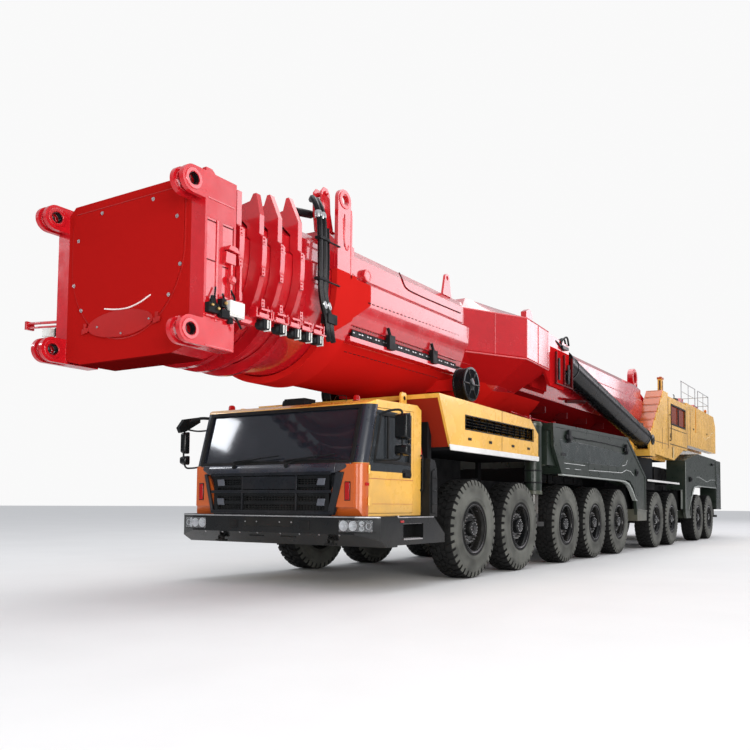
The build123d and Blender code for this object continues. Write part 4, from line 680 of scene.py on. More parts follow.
def wheel_parts():
    tyre, rim, nuts = make_wheel_meshes()
    models = [build.show(name, None, None, material) for build, name,
        material in ((tyre, "tyre_model", tyre_material), (rim, "rim_model", gloss_black), (nuts, "nut_model", steel))]
    for number in range(1, 10):
        for side_name, side in SIDES:
            node_name = f"wheel_{number}_{side_name}"
            low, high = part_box(node_name)
            middle = [(a + b) / 2 for a, b in zip(low, high)]
            for model, kind, slot in zip(models, ("tyre", "rim", "wheel_nuts"), ("tyre", "black", "silver")):
                piece = bpy.data.objects.new(f"{kind}_{number}_{side_name}", model.data)
                scene.collection.objects.link(piece)
                piece.location = middle
                spin = chance.uniform(0, 2 * math.pi)
                facing = Matrix.Rotation(0 if side > 0 else math.pi, 4, "Z")
                piece.rotation_euler = (facing @ Matrix.Rotation(spin, 4, "Y")).to_euler()
                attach(piece, node_name)
                if kind == "tyre":
                    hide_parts(node_name)
    for model in models:
        bpy.data.objects.remove(model)


# ---------------------------------------------------------------- boom head
face_x = head_high[0] - 0.30
cover_x = face_x + 0.015
COVER_Z, COVER_TOP = 3.78, 4.36
LUG_X, LUG_Y, LUG_HEIGHTS = face_x + 0.16, 1.095, (2.815, 4.325)
COVER_BOLTS = ((-0.40, 4.31), (0.43, 4.31), (0.80, 4.06), (0.86, 3.55), (0.70, 3.25), (-0.02, 2.92), (-0.72, 3.25),
    (-0.86, 3.55), (-0.80, 4.06), (0.42, 3.03), (-0.42, 3.03))


def boom_head():
    body = "boom_section_5"
    seam = Build()
    turns = [math.radians(-180 + 180 * i / 36) for i in range(37)]
    line = [(0.912 * math.cos(t), COVER_Z + 0.912 * math.sin(t)) for t in turns]
    line += [(0.912, COVER_TOP - 0.14), (0.86, COVER_TOP + 0.012), (-0.86, COVER_TOP + 0.012),
        (-0.912, COVER_TOP - 0.14)]
    ring = [Vector((face_x + 0.003, y, z)) for y, z in line]
    for a, b in zip(ring, ring[1:] + ring[:1]):
        seam.rod(a, b, 0.009, 6)
    seam.show("head_cover_seam", body, "red", head_face_shade_red)
    bolts = Build()
    for y, z in COVER_BOLTS:
        bolts.turned((cover_x, y, z), ALONG, [(0, 0.022), (0.004, 0.022), (0.004, 0.013), (0.016, 0.012)], 10)
    bolts.show("head_cover_bolts", body, "silver", steel)
    hatch = Build()
    turns = [2 * math.pi * i / 40 for i in range(40)]
    outline = [(-0.06 + 0.53 * math.cos(t), 3.035 + 0.145 * math.sin(t)) for t in turns]
    hatch.prism(outline, "x", cover_x - 0.002, cover_x + 0.008)
    for y in (-0.64, 0.53):
        hatch.prism([(y - 0.05, 2.97), (y + 0.05, 2.99), (y + 0.06, 3.04), (y + 0.02, 3.04), (y + 0.03, 3.09),
            (y - 0.02, 3.09), (y - 0.02, 3.03), (y - 0.05, 3.03)], "x", cover_x - 0.002, cover_x + 0.012)
    hatch.show("head_hatch", body, "red", head_face_shade_red, 0.003)
    # The raised arc above the hatch is pale: a painted highlight along its edge.
    lip = Build()
    lip.tube([(cover_x + 0.004, y, z) for y, z in ((-0.31, 3.222), (-0.14, 3.196), (0.03, 3.186), (0.16, 3.200),
        (0.29, 3.232), (0.43, 3.285))], 0.008, 8, 3)
    lip.show("head_cover_lip", body, "red", pale_lip_highlight)
    ears = Build()
    bush = Build()
    for z in LUG_HEIGHTS:
        for side in BOTH:
            for ear_y in (side * LUG_Y - 0.0675, side * LUG_Y + 0.0675):
                for facing in (-1, 1):
                    ears.turned((LUG_X, ear_y + facing * 0.0272, z), (0, facing, 0),
                        [(0, 0.108), (0.009, 0.104), (0.009, 0.070), (0, 0.066)], 28, closed=True)
                bush.turned((LUG_X, ear_y, z), ACROSS, [(-0.033, 0.0625), (-0.036, 0.058), (0.036, 0.058),
                    (0.033, 0.0625)], 28, closed=True)
            ears.box((face_x - 0.40, side * 1.00, z - 0.118), (face_x - 0.03, side * 1.196, z - 0.132))
    ears.show("head_lug_bosses", body, "red", red_paint, 0.002)
    # The bushes are gloss black: painted shade inside the lug bores.
    bush.show("head_lug_bushes", body, "black", gloss_black)
    side_face = 1.19
    gear, metal, panel, cable = Build(), Build(), Build(), Build()
    bracket, plates, grooves = Build(), Build(), Build()
    for _ in mirrored():
        y = side_face
        gear.boxes(
            (12.10, y - 0.02, 2.99, 12.21, y + 0.08, 3.08),
            (12.23, y - 0.02, 3.02, 12.37, y + 0.06, 3.12),
            (12.14, y - 0.02, 3.10, 12.20, y + 0.07, 3.19),
        )
        gear.turned((12.30, y + 0.03, 3.12), UP, [(0, 0.028), (0.04, 0.028), (0.05, 0.018), (0.08, 0.018)], 14)
        gear.turned((12.05, y + 0.03, 2.96), UP, [(0, 0.034), (0.05, 0.034), (0.06, 0.018)], 14)
        metal.turned((12.17, y + 0.08, 3.14), ACROSS, [(0, 0.02), (0.02, 0.02), (0.024, 0.012)], 6)
        metal.turned((12.25, y + 0.06, 3.07), ACROSS, [(0, 0.018), (0.02, 0.018), (0.024, 0.01)], 6)
        metal.turned((12.34, y + 0.06, 3.09), ACROSS, [(0, 0.015), (0.03, 0.015), (0.034, 0.008)], 6)
        panel.boxes(
            (11.89, y - 0.03, 3.03, 12.10, y + 0.085, 3.195),
            (11.91, y + 0.080, 3.045, 12.08, y + 0.094, 3.18),
        )
        bracket.box((12.00, y - 0.01, 3.58), (12.14, y + 0.05, 3.70))
        bracket.prism([(11.96, 3.70), (12.13, 3.72), (12.10, 3.77), (12.00, 3.76)], "y", y, y + 0.075)
        bracket.boxes(
            (11.92, y - 0.01, 3.22, 11.95, y + 0.06, 3.60),
            (12.03, y - 0.01, 3.22, 12.06, y + 0.04, 3.58),
        )
        bracket.turned((12.04, y + 0.03, 3.42), ACROSS, [(0, 0.05), (0.02, 0.05), (0.026, 0.03), (0.04, 0.03)], 16)
        bracket.box((11.86, y - 0.01, 3.20), (12.16, y + 0.03, 3.225))
        plates.boxes(
            (12.00, 1.11, 2.93, 12.372, 1.187, 4.03),
            (12.205, 1.18, 2.95, 12.235, 1.197, 4.00),
        )
        grooves.boxes(
            (11.99, 1.186, 3.965, 12.38, 1.1895, 3.978),
            (11.99, 1.186, 3.535, 12.20, 1.1895, 3.547),
            (12.24, 1.186, 3.56, 12.38, 1.1895, 3.572),
        )
        cable.tube([(12.05, y + 0.03, 3.31), (12.03, y + 0.07, 3.22), (12.05, y + 0.06, 3.10), (11.97, y + 0.07, 2.98),
            (11.93, y + 0.075, 2.92)], 0.012)
        cable.tube([(12.16, y + 0.03, 3.25), (12.14, y + 0.065, 3.10), (12.10, y + 0.06, 2.99)], 0.010)
        cable.tube([(12.25, y + 0.02, 3.30), (12.28, y + 0.05, 3.15), (12.20, y + 0.06, 3.00)], 0.009)
    gear.show("head_valves", body, "black", black_plastic, 0.004)
    bracket.show("head_brackets", body, "red", red_paint, 0.004)
    plates.show("head_side_plates", body, "red", red_paint, 0.004)
    grooves.show("head_side_grooves", body, "red", deep_red_and_shade)
    far = Build()
    far.rod((12.36, -1.17, 3.185), (12.40, -1.72, 3.215), 0.018, 8)
    far.rod((12.36, -1.17, 3.135), (12.40, -1.74, 3.165), 0.014, 8)
    far.box((12.33, -1.70, 3.14), (12.43, -1.74, 3.24))
    far_box = Build()
    far_box.box((12.34, -1.27, 3.02), (12.42, -1.41, 3.115))
    far_box.show("head_far_box", body, "silver", white_plastic, 0.006)
    far.show("head_far_bracket", body, "red", red_paint, 0.003)
    metal.show("head_fittings", body, "silver", brass, 0.001)
    panel.show("head_junction_boxes", body, "silver", white_plastic, 0.006)
    cable.show("head_cables", body, "black", hose_rubber)
    trim = Build()
    for _ in mirrored():
        trim.boxes(
            (face_x - 0.41, 0.80, 4.465, face_x - 0.02, 0.74, 4.48),
            (face_x - 0.42, 1.185, 2.98, face_x - 0.02, 1.215, 3.00),
        )
    trim.show("head_side_trim", body, "red", red_paint, 0.003)


# ---------------------------------------------------------------- boom collars and the cable guides under them
GUIDE_PLACES = {4: (-0.32,), 3: (-0.23,), 2: (-0.18,), 1: (-0.03, -0.24)}


def boom_collars():
    for number in range(1, 5):
        body = f"boom_section_{number}"
        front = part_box(body)[1][0]
        top = 4.63 - 0.06 * number
        guide, tray, clip, pads = Build(), Build(), Build(), Build()
        for _ in mirrored():
            tray.box((front - 0.26, 1.10, 3.02), (front - 0.03, 1.20, 3.10))
            for x in [front + offset for offset in GUIDE_PLACES[number]]:
                tray.prism([(x - 0.12, 3.095), (x + 0.16, 3.095), (x + 0.16, 3.20), (x + 0.145, 3.20),
                    (x + 0.145, 3.115), (x - 0.12, 3.115)], "y", 1.185, 1.30)
                tray.boxes(
                    (x - 0.10, 1.15, 3.09, x - 0.08, 1.29, 3.22),
                    (x - 0.03, 1.285, 3.10, x + 0.12, 1.305, 3.15),
                    (x - 0.05, 1.285, 3.18, x + 0.09, 1.305, 3.205),
                )
                tray.rod((x - 0.02, 1.29, 3.10), (x - 0.02, 1.29, 3.24), 0.010, 6)
                guide.box((x - 0.055, 1.18, 2.99), (x + 0.035, 1.29, 3.095))
                guide.turned((x + 0.045, 1.235, 3.03), ACROSS,
                    [(-0.045, 0.03), (-0.035, 0.038), (0.035, 0.038), (0.045, 0.03)], 14)
                clip.boxes(
                    (x - 0.075, 1.20, 2.98, x - 0.058, 1.292, 3.115),
                    (x - 0.03, 1.288, 3.00, x - 0.015, 1.299, 3.09),
                )
            for z in (3.25, 3.60, 3.95):
                pads.box((front - 0.045, 1.175, z), (front + 0.006, 1.196, z + 0.09))
                pads.nut((front - 0.02, 1.196, z + 0.025), ACROSS, 0.011, 0.010)
                pads.nut((front - 0.02, 1.196, z + 0.065), ACROSS, 0.011, 0.010)
            for y in (0.25, 0.75):
                pads.box((front - 0.04, y - 0.06, top - 0.005), (front + 0.006, y + 0.06, top + 0.015))
        tray.show(f"cable_tray_{number}", body, "red", red_paint, 0.003)
        guide.show(f"cable_guide_{number}", body, "black", black_plastic, 0.003)
        clip.show(f"cable_clip_{number}", body, "silver", white_plastic, 0.002)
        pads.show(f"wear_pad_covers_{number}", body, "red", red_paint, 0.003)


# ---------------------------------------------------------------- boom base
LOOP_BOX_X = -4.70


def boom_base():
    body = "boom"
    front = boom_high[0]
    hoses, clamps = Build(), Build()
    for x in (front + 0.27, front + 0.355):
        hoses.tube([(x - 0.12, 0.95, 4.88), (x - 0.02, 1.06, 4.84), (x, 1.17, 4.62), (x, 1.20, 4.2),
            (x - 0.01, 1.20, 3.8), (x - 0.05, 1.20, 3.55), (x - 0.13, 1.20, 3.36), (x - 0.16, 1.20, 3.20),
            (x - 0.22, 1.18, 3.10)], 0.036)
    hoses.tube([(front + 0.16, 1.16, 4.50), (front + 0.18, 1.19, 4.0), (front + 0.22, 1.20, 3.55),
        (front + 0.17, 1.20, 3.3), (front + 0.05, 1.17, 3.25)], 0.018)
    for z in (4.30, 3.80):
        clamps.boxes(
            (front + 0.22, 1.155, z, front + 0.41, 1.245, z + 0.035),
            (front - 0.04, 1.188, z + 0.01, front + 0.23, 1.210, z + 0.028),
        )
    clamps.box((front + 0.06, 1.13, 3.30), (front + 0.24, 1.25, 3.42))
    clamps.rod((front + 0.05, 0.80, 4.78), (front + 0.36, 0.80, 4.72), 0.05, 14)
    fittings = Build()
    for x in (front + 0.27, front + 0.355):
        fittings.turned((x, 1.155, 4.66), (0, 0.15, -1), [(0, 0.040), (0.03, 0.046), (0.06, 0.046), (0.09, 0.040)], 14)
        fittings.turned((x - 0.10, 1.20, 3.47), (0.5, 0, 1), [(0, 0.038), (0.02, 0.044), (0.07, 0.044), (0.09, 0.038)],
            14)
    fittings.show("boom_hose_fittings", body, "silver", steel)
    hoses.show("boom_front_hoses", body, "black", hose_rubber)
    clamps.show("boom_hose_clamps", body, "black", black_plastic, 0.004)
    lugs = Build()
    for y in (0.86, 0.98):
        lugs.prism([(front - 0.16, 4.55), (front + 0.06, 4.55), (front + 0.10, 4.80), (front + 0.10, 5.04),
            (front + 0.05, 5.10), (front - 0.02, 5.10), (front - 0.07, 5.04), (front - 0.09, 4.80)], "y", y, y + 0.022)
    lugs.rod((front + 0.015, 0.83, 5.03), (front + 0.015, 1.03, 5.03), 0.028, 16)
    lugs.box((front - 0.16, 0.84, 4.55), (front - 0.02, 1.02, 4.575))
    lugs.show("hose_carrier_lugs", body, "red", red_paint, 0.003)
    welds = Build()
    for _ in mirrored():
        welds.tube([(4.6, 1.0395, 3.45), (7.0, 1.0395, 3.45), (front - 0.45, 1.0395, 3.45)], 0.007, 6, 1)
        welds.tube([(6.68, 1.073, 4.09), (8.4, 1.073, 4.09), (front - 0.43, 1.073, 4.09)], 0.006, 6, 1)
    welds.show("boom_weld_lines", body, "red", red_paint)
    marks = Build()
    for _ in mirrored():
        marks.tube([(8.60, 1.075, 4.42), (8.51, 1.075, 4.34), (8.42, 1.075, 4.25), (8.20, 1.075, 4.223),
            (7.6, 1.075, 4.223), (6.74, 1.075, 4.235)], 0.010, 6, 2)
        marks.tube([(9.70, 1.075, 4.055), (8.2, 1.075, 4.058), (6.62, 1.075, 4.06)], 0.013, 6, 2)
        for i in range(26):
            x = 9.42 - 0.10 * i
            y = 1.118 if i < 1 else 1.112
            marks.rod((x, y, 3.787 + 0.002 * i), (x - 0.055, y, 3.789 + 0.002 * i), 0.010, 6)
        for i in range(25):
            x = 9.68 - 0.10 * i
            marks.rod((x, 0.925, 3.105), (x - 0.06, 0.925, 3.106), 0.007, 6)
    marks.show("boom_groove_lines", body, "red", deep_red_and_shade)
    chain, pins, red_dashes = Build(), Build(), Build()
    steps = 44
    for _ in mirrored():
        for i in range(steps):
            x = 6.86 + 2.84 * i / steps
            z = 3.288
            for y in (0.90, 1.045):
                chain.prism([(x, z), (x + 0.05, z), (x + 0.058, z + 0.045), (x + 0.05, z + 0.095), (x, z + 0.095),
                    (x - 0.008, z + 0.045)], "y", y, (y + 0.014))
            chain.box((x + 0.018, 0.90, z + 0.048), (x + 0.034, 1.06, z + 0.060))
            if i % 3:
                pins.box((x + 0.005, 1.056, z + 0.050), (x + 0.045, 1.064, z + 0.066))
            red_dashes.box((x, 1.052, z + 0.135), (x + 0.030, 1.062, z + 0.150))
        for x in (7.55, 8.75):
            chain.box((x, 1.05, 3.26), (x + 0.14, 1.12, 3.46))
            chain.rod((x + 0.07, 1.10, 3.40), (x + 0.16, 1.10, 3.55), 0.022, 8)
        chain.tube([(6.88, 1.0, 3.34), (6.70, 1.05, 3.33), (6.62, 1.2, 3.22), (6.66, 1.30, 3.10)], 0.022)
    chain.show("boom_cable_chain", body, "black", black_plastic)
    pins.show("boom_chain_pins", body, "silver", steel, 0.001)
    red_dashes.show("boom_cable_clips", body, "red", deep_red_and_shade)
    reel, spokes = Build(), Build()
    for _ in mirrored():
        for y in (1.205, 1.385):
            reel.turned((6.95, y, 3.01), ACROSS, [(-0.012, 0.275), (0.014, 0.275), (0.018, 0.266), (0.018, 0.235),
                (-0.012, 0.235)], 40, closed=True)
        reel.turned((6.95, 1.400, 3.01), ACROSS, [(0, 0.10), (0.012, 0.10), (0.018, 0.085), (0.030, 0.05),
            (0.034, 0.03)], 24)
        for i in range(6):
            turn = math.pi * i / 3
            a = Vector((6.95 + 0.07 * math.cos(turn), 1.404, 3.01 + 0.07 * math.sin(turn)))
            b = Vector((6.95 + 0.25 * math.cos(turn), 1.404, 3.01 + 0.25 * math.sin(turn)))
            reel.rod(a, b, 0.014, 8)
        for i in range(6):
            spokes.turned((6.95, (1.232 + 0.027 * i), 3.01), ACROSS,
                [(-0.013, 0.250), (-0.006, 0.262), (0.006, 0.262), (0.013, 0.250)], 40)
    reel.show("hose_reel_flanges", body, "black", gloss_black, 0.003)
    spokes.show("hose_reel_turns", body, "black", hose_rubber)
    pipes = Build()
    for _ in mirrored():
        for k, (y, z) in enumerate(((0.60, 2.86), (0.68, 2.90))):
            pipes.tube([(3.9, y, z + 0.03), (3.0, y, z), (0.5, y, z), (-1.6, y, z), (-2.3, (y - 0.06), z - 0.02)],
                0.022, 8, 3)
        for x in (-1.2, 0.2, 1.6, 3.0):
            pipes.box((x, 0.55, 2.83), (x + 0.06, 0.72, 2.955))
    pipes.show("boom_underside_pipes", body, "red", red_paint)
    # Dark red ribs on the saddle's flank; the rod and the bars under the boom's rear are painted shade where the
    # saddle's shadow falls.
    ribs, dark_lines = Build(), Build()
    for _ in mirrored():
        y = 1.665
        for x in (4.02, 3.60, 3.17):
            ribs.box((x, y - 0.02, 3.42), (x - 0.03, y + 0.022, 4.02))
        ribs.box((4.04, y - 0.02, 3.40), (3.15, y + 0.020, 3.425))
        for x, z0, z1 in ((3.86, 3.50, 3.92), (3.36, 3.48, 3.86)):
            dark_lines.box((x, y - 0.02, z0), (x - 0.07, y + 0.006, z1))
        ribs.rod((1.95, 1.085, 3.34), (0.75, 1.085, 3.46), 0.034, 12)
        for k in range(4):
            x = 3.0 - 1.25 * k
            ribs.box((x, 0.72, 2.99), (x - 0.05, 1.03, 3.12))
    ribs.show("saddle_ribs_and_shade_bars", body, "red", deep_red_and_shade, 0.003)
    dark_lines.show("saddle_slots", body, "black", black_plastic)
    rod_hoses = Build()
    for _ in mirrored():
        for k in range(3):
            y = (1.50 + 0.06 * k)
            rod_hoses.tube([(3.20, y, 4.27), (3.30, y, 4.36 + 0.03 * k), (3.55, y, 4.33), (3.62, y, 4.20),
                (3.50, y, 4.13)], 0.020, 8, 4)
        rod_hoses.box((3.30, 1.46, 4.15), (3.62, 1.66, 4.21))
        rod_hoses.tube([(3.62, 1.62, 4.18), (3.85, 1.60, 4.25), (4.10, 1.50, 4.30), (4.24, 1.40, 4.33)], 0.020, 8, 4)
    rod_hoses.show("luff_eye_hoses", body, "black", hose_rubber)
    # Pale pink bars along the saddle's edges and corners: painted highlight.
    edges = Build()
    for _ in mirrored():
        rear, middle, tip = (4.25, 1.61), (5.47, 1.70), (6.65, 1.05)
        for a, b in ((rear, middle), (middle, tip)):
            edges.rod((a[0], a[1], 3.63), (b[0], b[1], 3.63), 0.013, 8)
            edges.rod((a[0], a[1], 4.35), (b[0], b[1], 4.35), 0.011, 8)
        for x, y in ((6.06, 1.378), (5.47, 1.703), (4.85, 1.657)):
            edges.rod((x, y, 3.65), (x, y, 4.33), 0.009, 6)
    edges.show("saddle_edge_highlights", body, "red", pink_edge_highlight)
    # Pale pink rims and edge strips on the boom's lugs, eyes and front edge: painted highlight.
    rims = Build()
    for _ in mirrored():
        y = 1.196
        x0 = front - 0.28
        rims.prism([(x0, 3.98), (x0 - 0.028, 3.98), (x0 - 0.028, 4.80), (x0 - 0.012, 4.87), (x0, 4.87)], "y", 1.03,
            1.19)
        rims.tube([(x0 + 0.16, 1.187, 4.72), (x0 + 0.13, 1.187, 4.4), (x0 + 0.07, 1.187, 4.33),
            (x0 + 0.04, 1.187, 4.40)], 0.010, 6, 3)
        rims.turned((front - 0.145, 1.188, 4.96), ACROSS, [(0, 0.115), (0.010, 0.111), (0.010, 0.075), (0, 0.07)], 28,
            closed=True)
        rims.turned((9.45, 1.130, 4.15), ACROSS, [(0, 0.085), (0.006, 0.078), (0.006, 0.055), (-0.02, 0.05)], 28,
            closed=True)
        rims.turned((LOOP_BOX_X, 0.70, 4.84), ACROSS, [(0, 0.245), (0.012, 0.238), (0.012, 0.175), (0, 0.165)], 32,
            closed=True)
    rims.show("boom_lug_rims", body, "red", pink_edge_highlight, 0.002)


# ---------------------------------------------------------------- carrier cab
front_x = cab_high[0] - 0.025


def screen_x(z):
    """Outer face of the cab's sloping front at a height."""
    return front_x - 0.205 * (z - 1.60) / 0.79


def screen_strip(build, y0, y1, z0, z1, rise=0.012, sink=0.004):
    """A strip that lies on the sloping front."""
    build.prism([(screen_x(z0) - sink, z0), (screen_x(z0) + rise, z0), (screen_x(z1) + rise, z1),
        (screen_x(z1) - sink, z1)], "y", y0, y1)


def cab_front():
    frame_bars = Build()
    screen_strip(frame_bars, -1.33, 1.33, 2.325, 2.375)
    screen_strip(frame_bars, -1.33, 1.33, 1.615, 1.655)
    for _ in mirrored():
        screen_strip(frame_bars, 1.28, 1.335, 1.655, 2.325)
    frame_bars.show("windscreen_seal", "carrier", "black", seal_rubber, 0.005)
    panel = Build()
    panel.prism([(front_x - 0.003, 1.49), (front_x + 0.068, 1.49), (front_x + 0.072, 1.56), (front_x + 0.045, 1.615),
        (front_x - 0.003, 1.62)], "y", -1.10, 1.10)
    for _ in mirrored():
        panel.between([(front_x - 0.003, 1.10, 1.49), (front_x + 0.068, 1.10, 1.49), (front_x + 0.045, 1.10, 1.615),
            (front_x - 0.003, 1.10, 1.62)], [(front_x - 0.01, 1.30, 1.575), (front_x + 0.012, 1.29, 1.575),
            (front_x + 0.012, 1.30, 1.615), (front_x - 0.01, 1.31, 1.62)])
    panel.show("wiper_panel", "carrier", "black", blue_black, 0.008)
    wipers = Build()
    for start_y, tip_y in ((-0.62, 0.02), (0.30, 0.95)):
        x0 = screen_x(1.64) + 0.035
        wipers.turned((front_x + 0.055, start_y, 1.585), (0.75, 0, 0.65),
            [(0, 0.030), (0.018, 0.030), (0.026, 0.02), (0.045, 0.018)], 14)
        wipers.tube([(front_x + 0.085, start_y, 1.60), (x0 + 0.01, start_y + 0.12, 1.655),
            (x0 - 0.005, tip_y - 0.18, 1.705)], 0.0095)
        wipers.tube([(x0 - 0.002, start_y - 0.06, 1.662), (x0 - 0.012, start_y + 0.30, 1.692),
            (x0 - 0.02, tip_y + 0.10, 1.728)], 0.008)
        screen_strip(wipers, start_y - 0.06, tip_y + 0.10, 1.655, 1.668, 0.026, -0.014)
    wipers.show("windscreen_wipers", "carrier", "black", black_plastic)
    grille = Build()
    for _ in mirrored():
        grille.between([(front_x, 1.00, 0.96), (front_x + 0.072, 0.985, 0.96), (front_x + 0.072, 1.12, 1.50),
            (front_x, 1.16, 1.50)], [(front_x, 1.07, 0.96), (front_x + 0.045, 1.06, 0.96),
            (front_x + 0.040, 1.21, 1.50), (front_x, 1.23, 1.50)])
    for z in (0.965, 1.235, 1.468):
        grille.box((front_x + 0.050, -1.04, z), (front_x + 0.074, 1.04, z + 0.042))
    grille.box((front_x + 0.048, -0.46, 1.285), (front_x + 0.062, 0.46, 1.455))
    for y in (-0.47, 0.47):
        grille.box((front_x + 0.040, y - 0.012, 1.01), (front_x + 0.068, y + 0.012, 1.47))
    grille.show("grille_frame", "carrier", "black", grille_plastic, 0.008)
    mesh = Build()
    for i in range(17):
        z = 1.03 + 0.026 * i
        if abs(z - 1.255) > 0.03:
            mesh.box((front_x + 0.022, -0.93, z), (front_x + 0.036, 0.93, z + 0.006))
    for i in range(38):
        y = -0.93 + 1.86 * i / 37
        mesh.box((front_x + 0.018, y - 0.004, 1.01), (front_x + 0.030, y + 0.004, 1.46))
    mesh.show("grille_mesh", "carrier", "black", black_plastic)
    vents = Build()
    for _ in mirrored():
        for z0 in (1.07, 1.33):
            vents.between([(front_x + 0.040, 0.80, z0), (front_x + 0.040, 0.93, z0), (front_x + 0.040, 0.95, z0 + 0.10),
                (front_x + 0.040, 0.82, z0 + 0.10)], [(front_x + 0.060, 0.805, z0 + 0.01),
                (front_x + 0.060, 0.92, z0 + 0.01), (front_x + 0.060, 0.935, z0 + 0.09),
                (front_x + 0.060, 0.825, z0 + 0.09)])
    vents.show("grille_side_vents", "carrier", "silver", vent_grey, 0.006)
    markers, bezels = Build(), Build()
    for _ in mirrored():
        markers.box((front_x + 0.026, 1.235, 1.15), (front_x + 0.040, 1.305, 1.37))
        bezels.box((front_x + 0.022, 1.225, 1.14), (front_x + 0.034, 1.315, 1.38))
        markers.boxes(
            (front_x - 0.16, 1.459, 1.33, front_x - 0.08, 1.472, 1.37),
            (9.42, 1.708, 0.865, 9.50, 1.722, 0.895),
        )
    markers.show("marker_lamps", "carrier", "red", red_lens, 0.006)
    bezels.show("marker_bezels", "carrier", "black", black_plastic, 0.006)


def bumper():
    front = bumper_high[0]
    line = Build()
    line.box((front - 0.004, -1.40, 0.928), (front + 0.008, 1.40, 0.944))
    for _ in mirrored():
        line.slab([(front - 0.002, 1.40, 0.928), (front - 0.121, 1.708, 0.928), (front - 0.121, 1.708, 0.944),
            (front - 0.002, 1.40, 0.944)], 0.008)
        line.boxes(
            (8.66, 1.700, 0.926, 9.56, 1.718, 0.940),
            (8.95, 1.560, 0.642, 9.41, 1.715, 0.660),
            (8.95, 1.560, 0.846, 9.41, 1.700, 0.856),
        )
    line.show("bumper_bright_line", "carrier", "silver", steel, 0.002)
    bowls, lens, bezel = Build(), Build(), Build()
    for _ in mirrored():
        for y, z, radius, place in ((1.225, 0.828, 0.062, 0.052), (1.365, 0.828, 0.058, 0.050),
                (1.475, 0.860, 0.030, 0.020), (1.475, 0.795, 0.030, 0.020), (1.56, 0.828, 0.036, -0.008)):
            x = front - 0.010 - (0.052 - place)
            bowls.turned((x - 0.045, y, z), ALONG, [(0.0, 0.012), (0.006, radius * 0.45), (0.025, radius * 0.8),
                (0.045, radius), (0.047, radius * 1.06), (0.040, radius * 1.06), (-0.004, radius * 0.5)], 22,
                closed=True)
            bowls.turned((x - 0.045, y, z), ALONG, [(0.006, radius * 0.30), (0.022, radius * 0.26), (0.028, 0.004)], 14)
        shield = [(front - 0.012, 1.155), (front - 0.012, 1.40), (front - 0.080, 1.615), (front - 0.073, 1.618),
            (front - 0.003, 1.402), (front - 0.003, 1.155)]
        lens.prism(shield, "z", 0.755, 0.900)
        for z in (0.744, 0.899):
            bezel.prism([(front - 0.02, 1.145), (front - 0.02, 1.40), (front - 0.095, 1.64), (front - 0.087, 1.645),
                (front + 0.003, 1.402), (front + 0.003, 1.145)], "z", z, z + 0.010)
        for y in (1.295, 1.425):
            bezel.box((front - 0.07, (y - 0.004), 0.75), (front - 0.02, (y + 0.004), 0.905))
    bowls.show("headlamp_bowls", "carrier", "chrome", lamp_white)
    lens.show("headlamp_covers", "carrier", "glass", lamp_glass, 0.003)
    bezel.show("headlamp_bezels", "carrier", "black", black_plastic, 0.002)
    trim, rivets = Build(), Build()
    for y in (-0.62, 0.62):
        trim.boxes(
            (front - 0.003, y - 0.075, 0.765, front + 0.008, y + 0.075, 0.885),
            (front + 0.006, y - 0.055, 0.785, front + 0.014, y + 0.055, 0.865),
        )
    trim.box((front - 0.003, -0.42, 0.80), (front + 0.007, 0.42, 0.915))
    for _ in mirrored():
        trim.prism([(0.15, 0.66), (0.40, 0.66), (0.42, 0.70), (0.13, 0.70)], "x", front - 0.12, front - 0.075)
        trim.turned((front - 0.13, 0.95, 0.62), ALONG, [(0, 0.045), (0.05, 0.045), (0.06, 0.036), (0.06, 0.02),
            (0.02, 0.02)], 18)
        trim.box((front - 0.16, 0.88, 0.575), (front - 0.06, 1.02, 0.60))
        for i in range(7):
            rivets.nut((front - 0.02 - 0.026 * (i % 2), (0.2 + 0.16 * i), 0.712), (0.8, 0, -0.6), 0.012, 0.010, 8)
    for y in (-0.40, -0.2, 0.2, 0.40):
        rivets.nut((front + 0.006, y, 0.858), (1, 0, 0), 0.010, 0.006, 8)
    trim.show("bumper_trim", "carrier", "black", black_plastic, 0.005)
    rivets.show("bumper_rivets", "carrier", "silver", steel)
    treads = Build()
    for _ in mirrored():
        for x in [8.97 + 0.055 * i for i in range(9)]:
            for z in (0.652, 0.853):
                treads.box((x, 1.58, z), (x + 0.025, 1.69, z + 0.014))
    treads.show("step_treads", "carrier", "silver", steel)


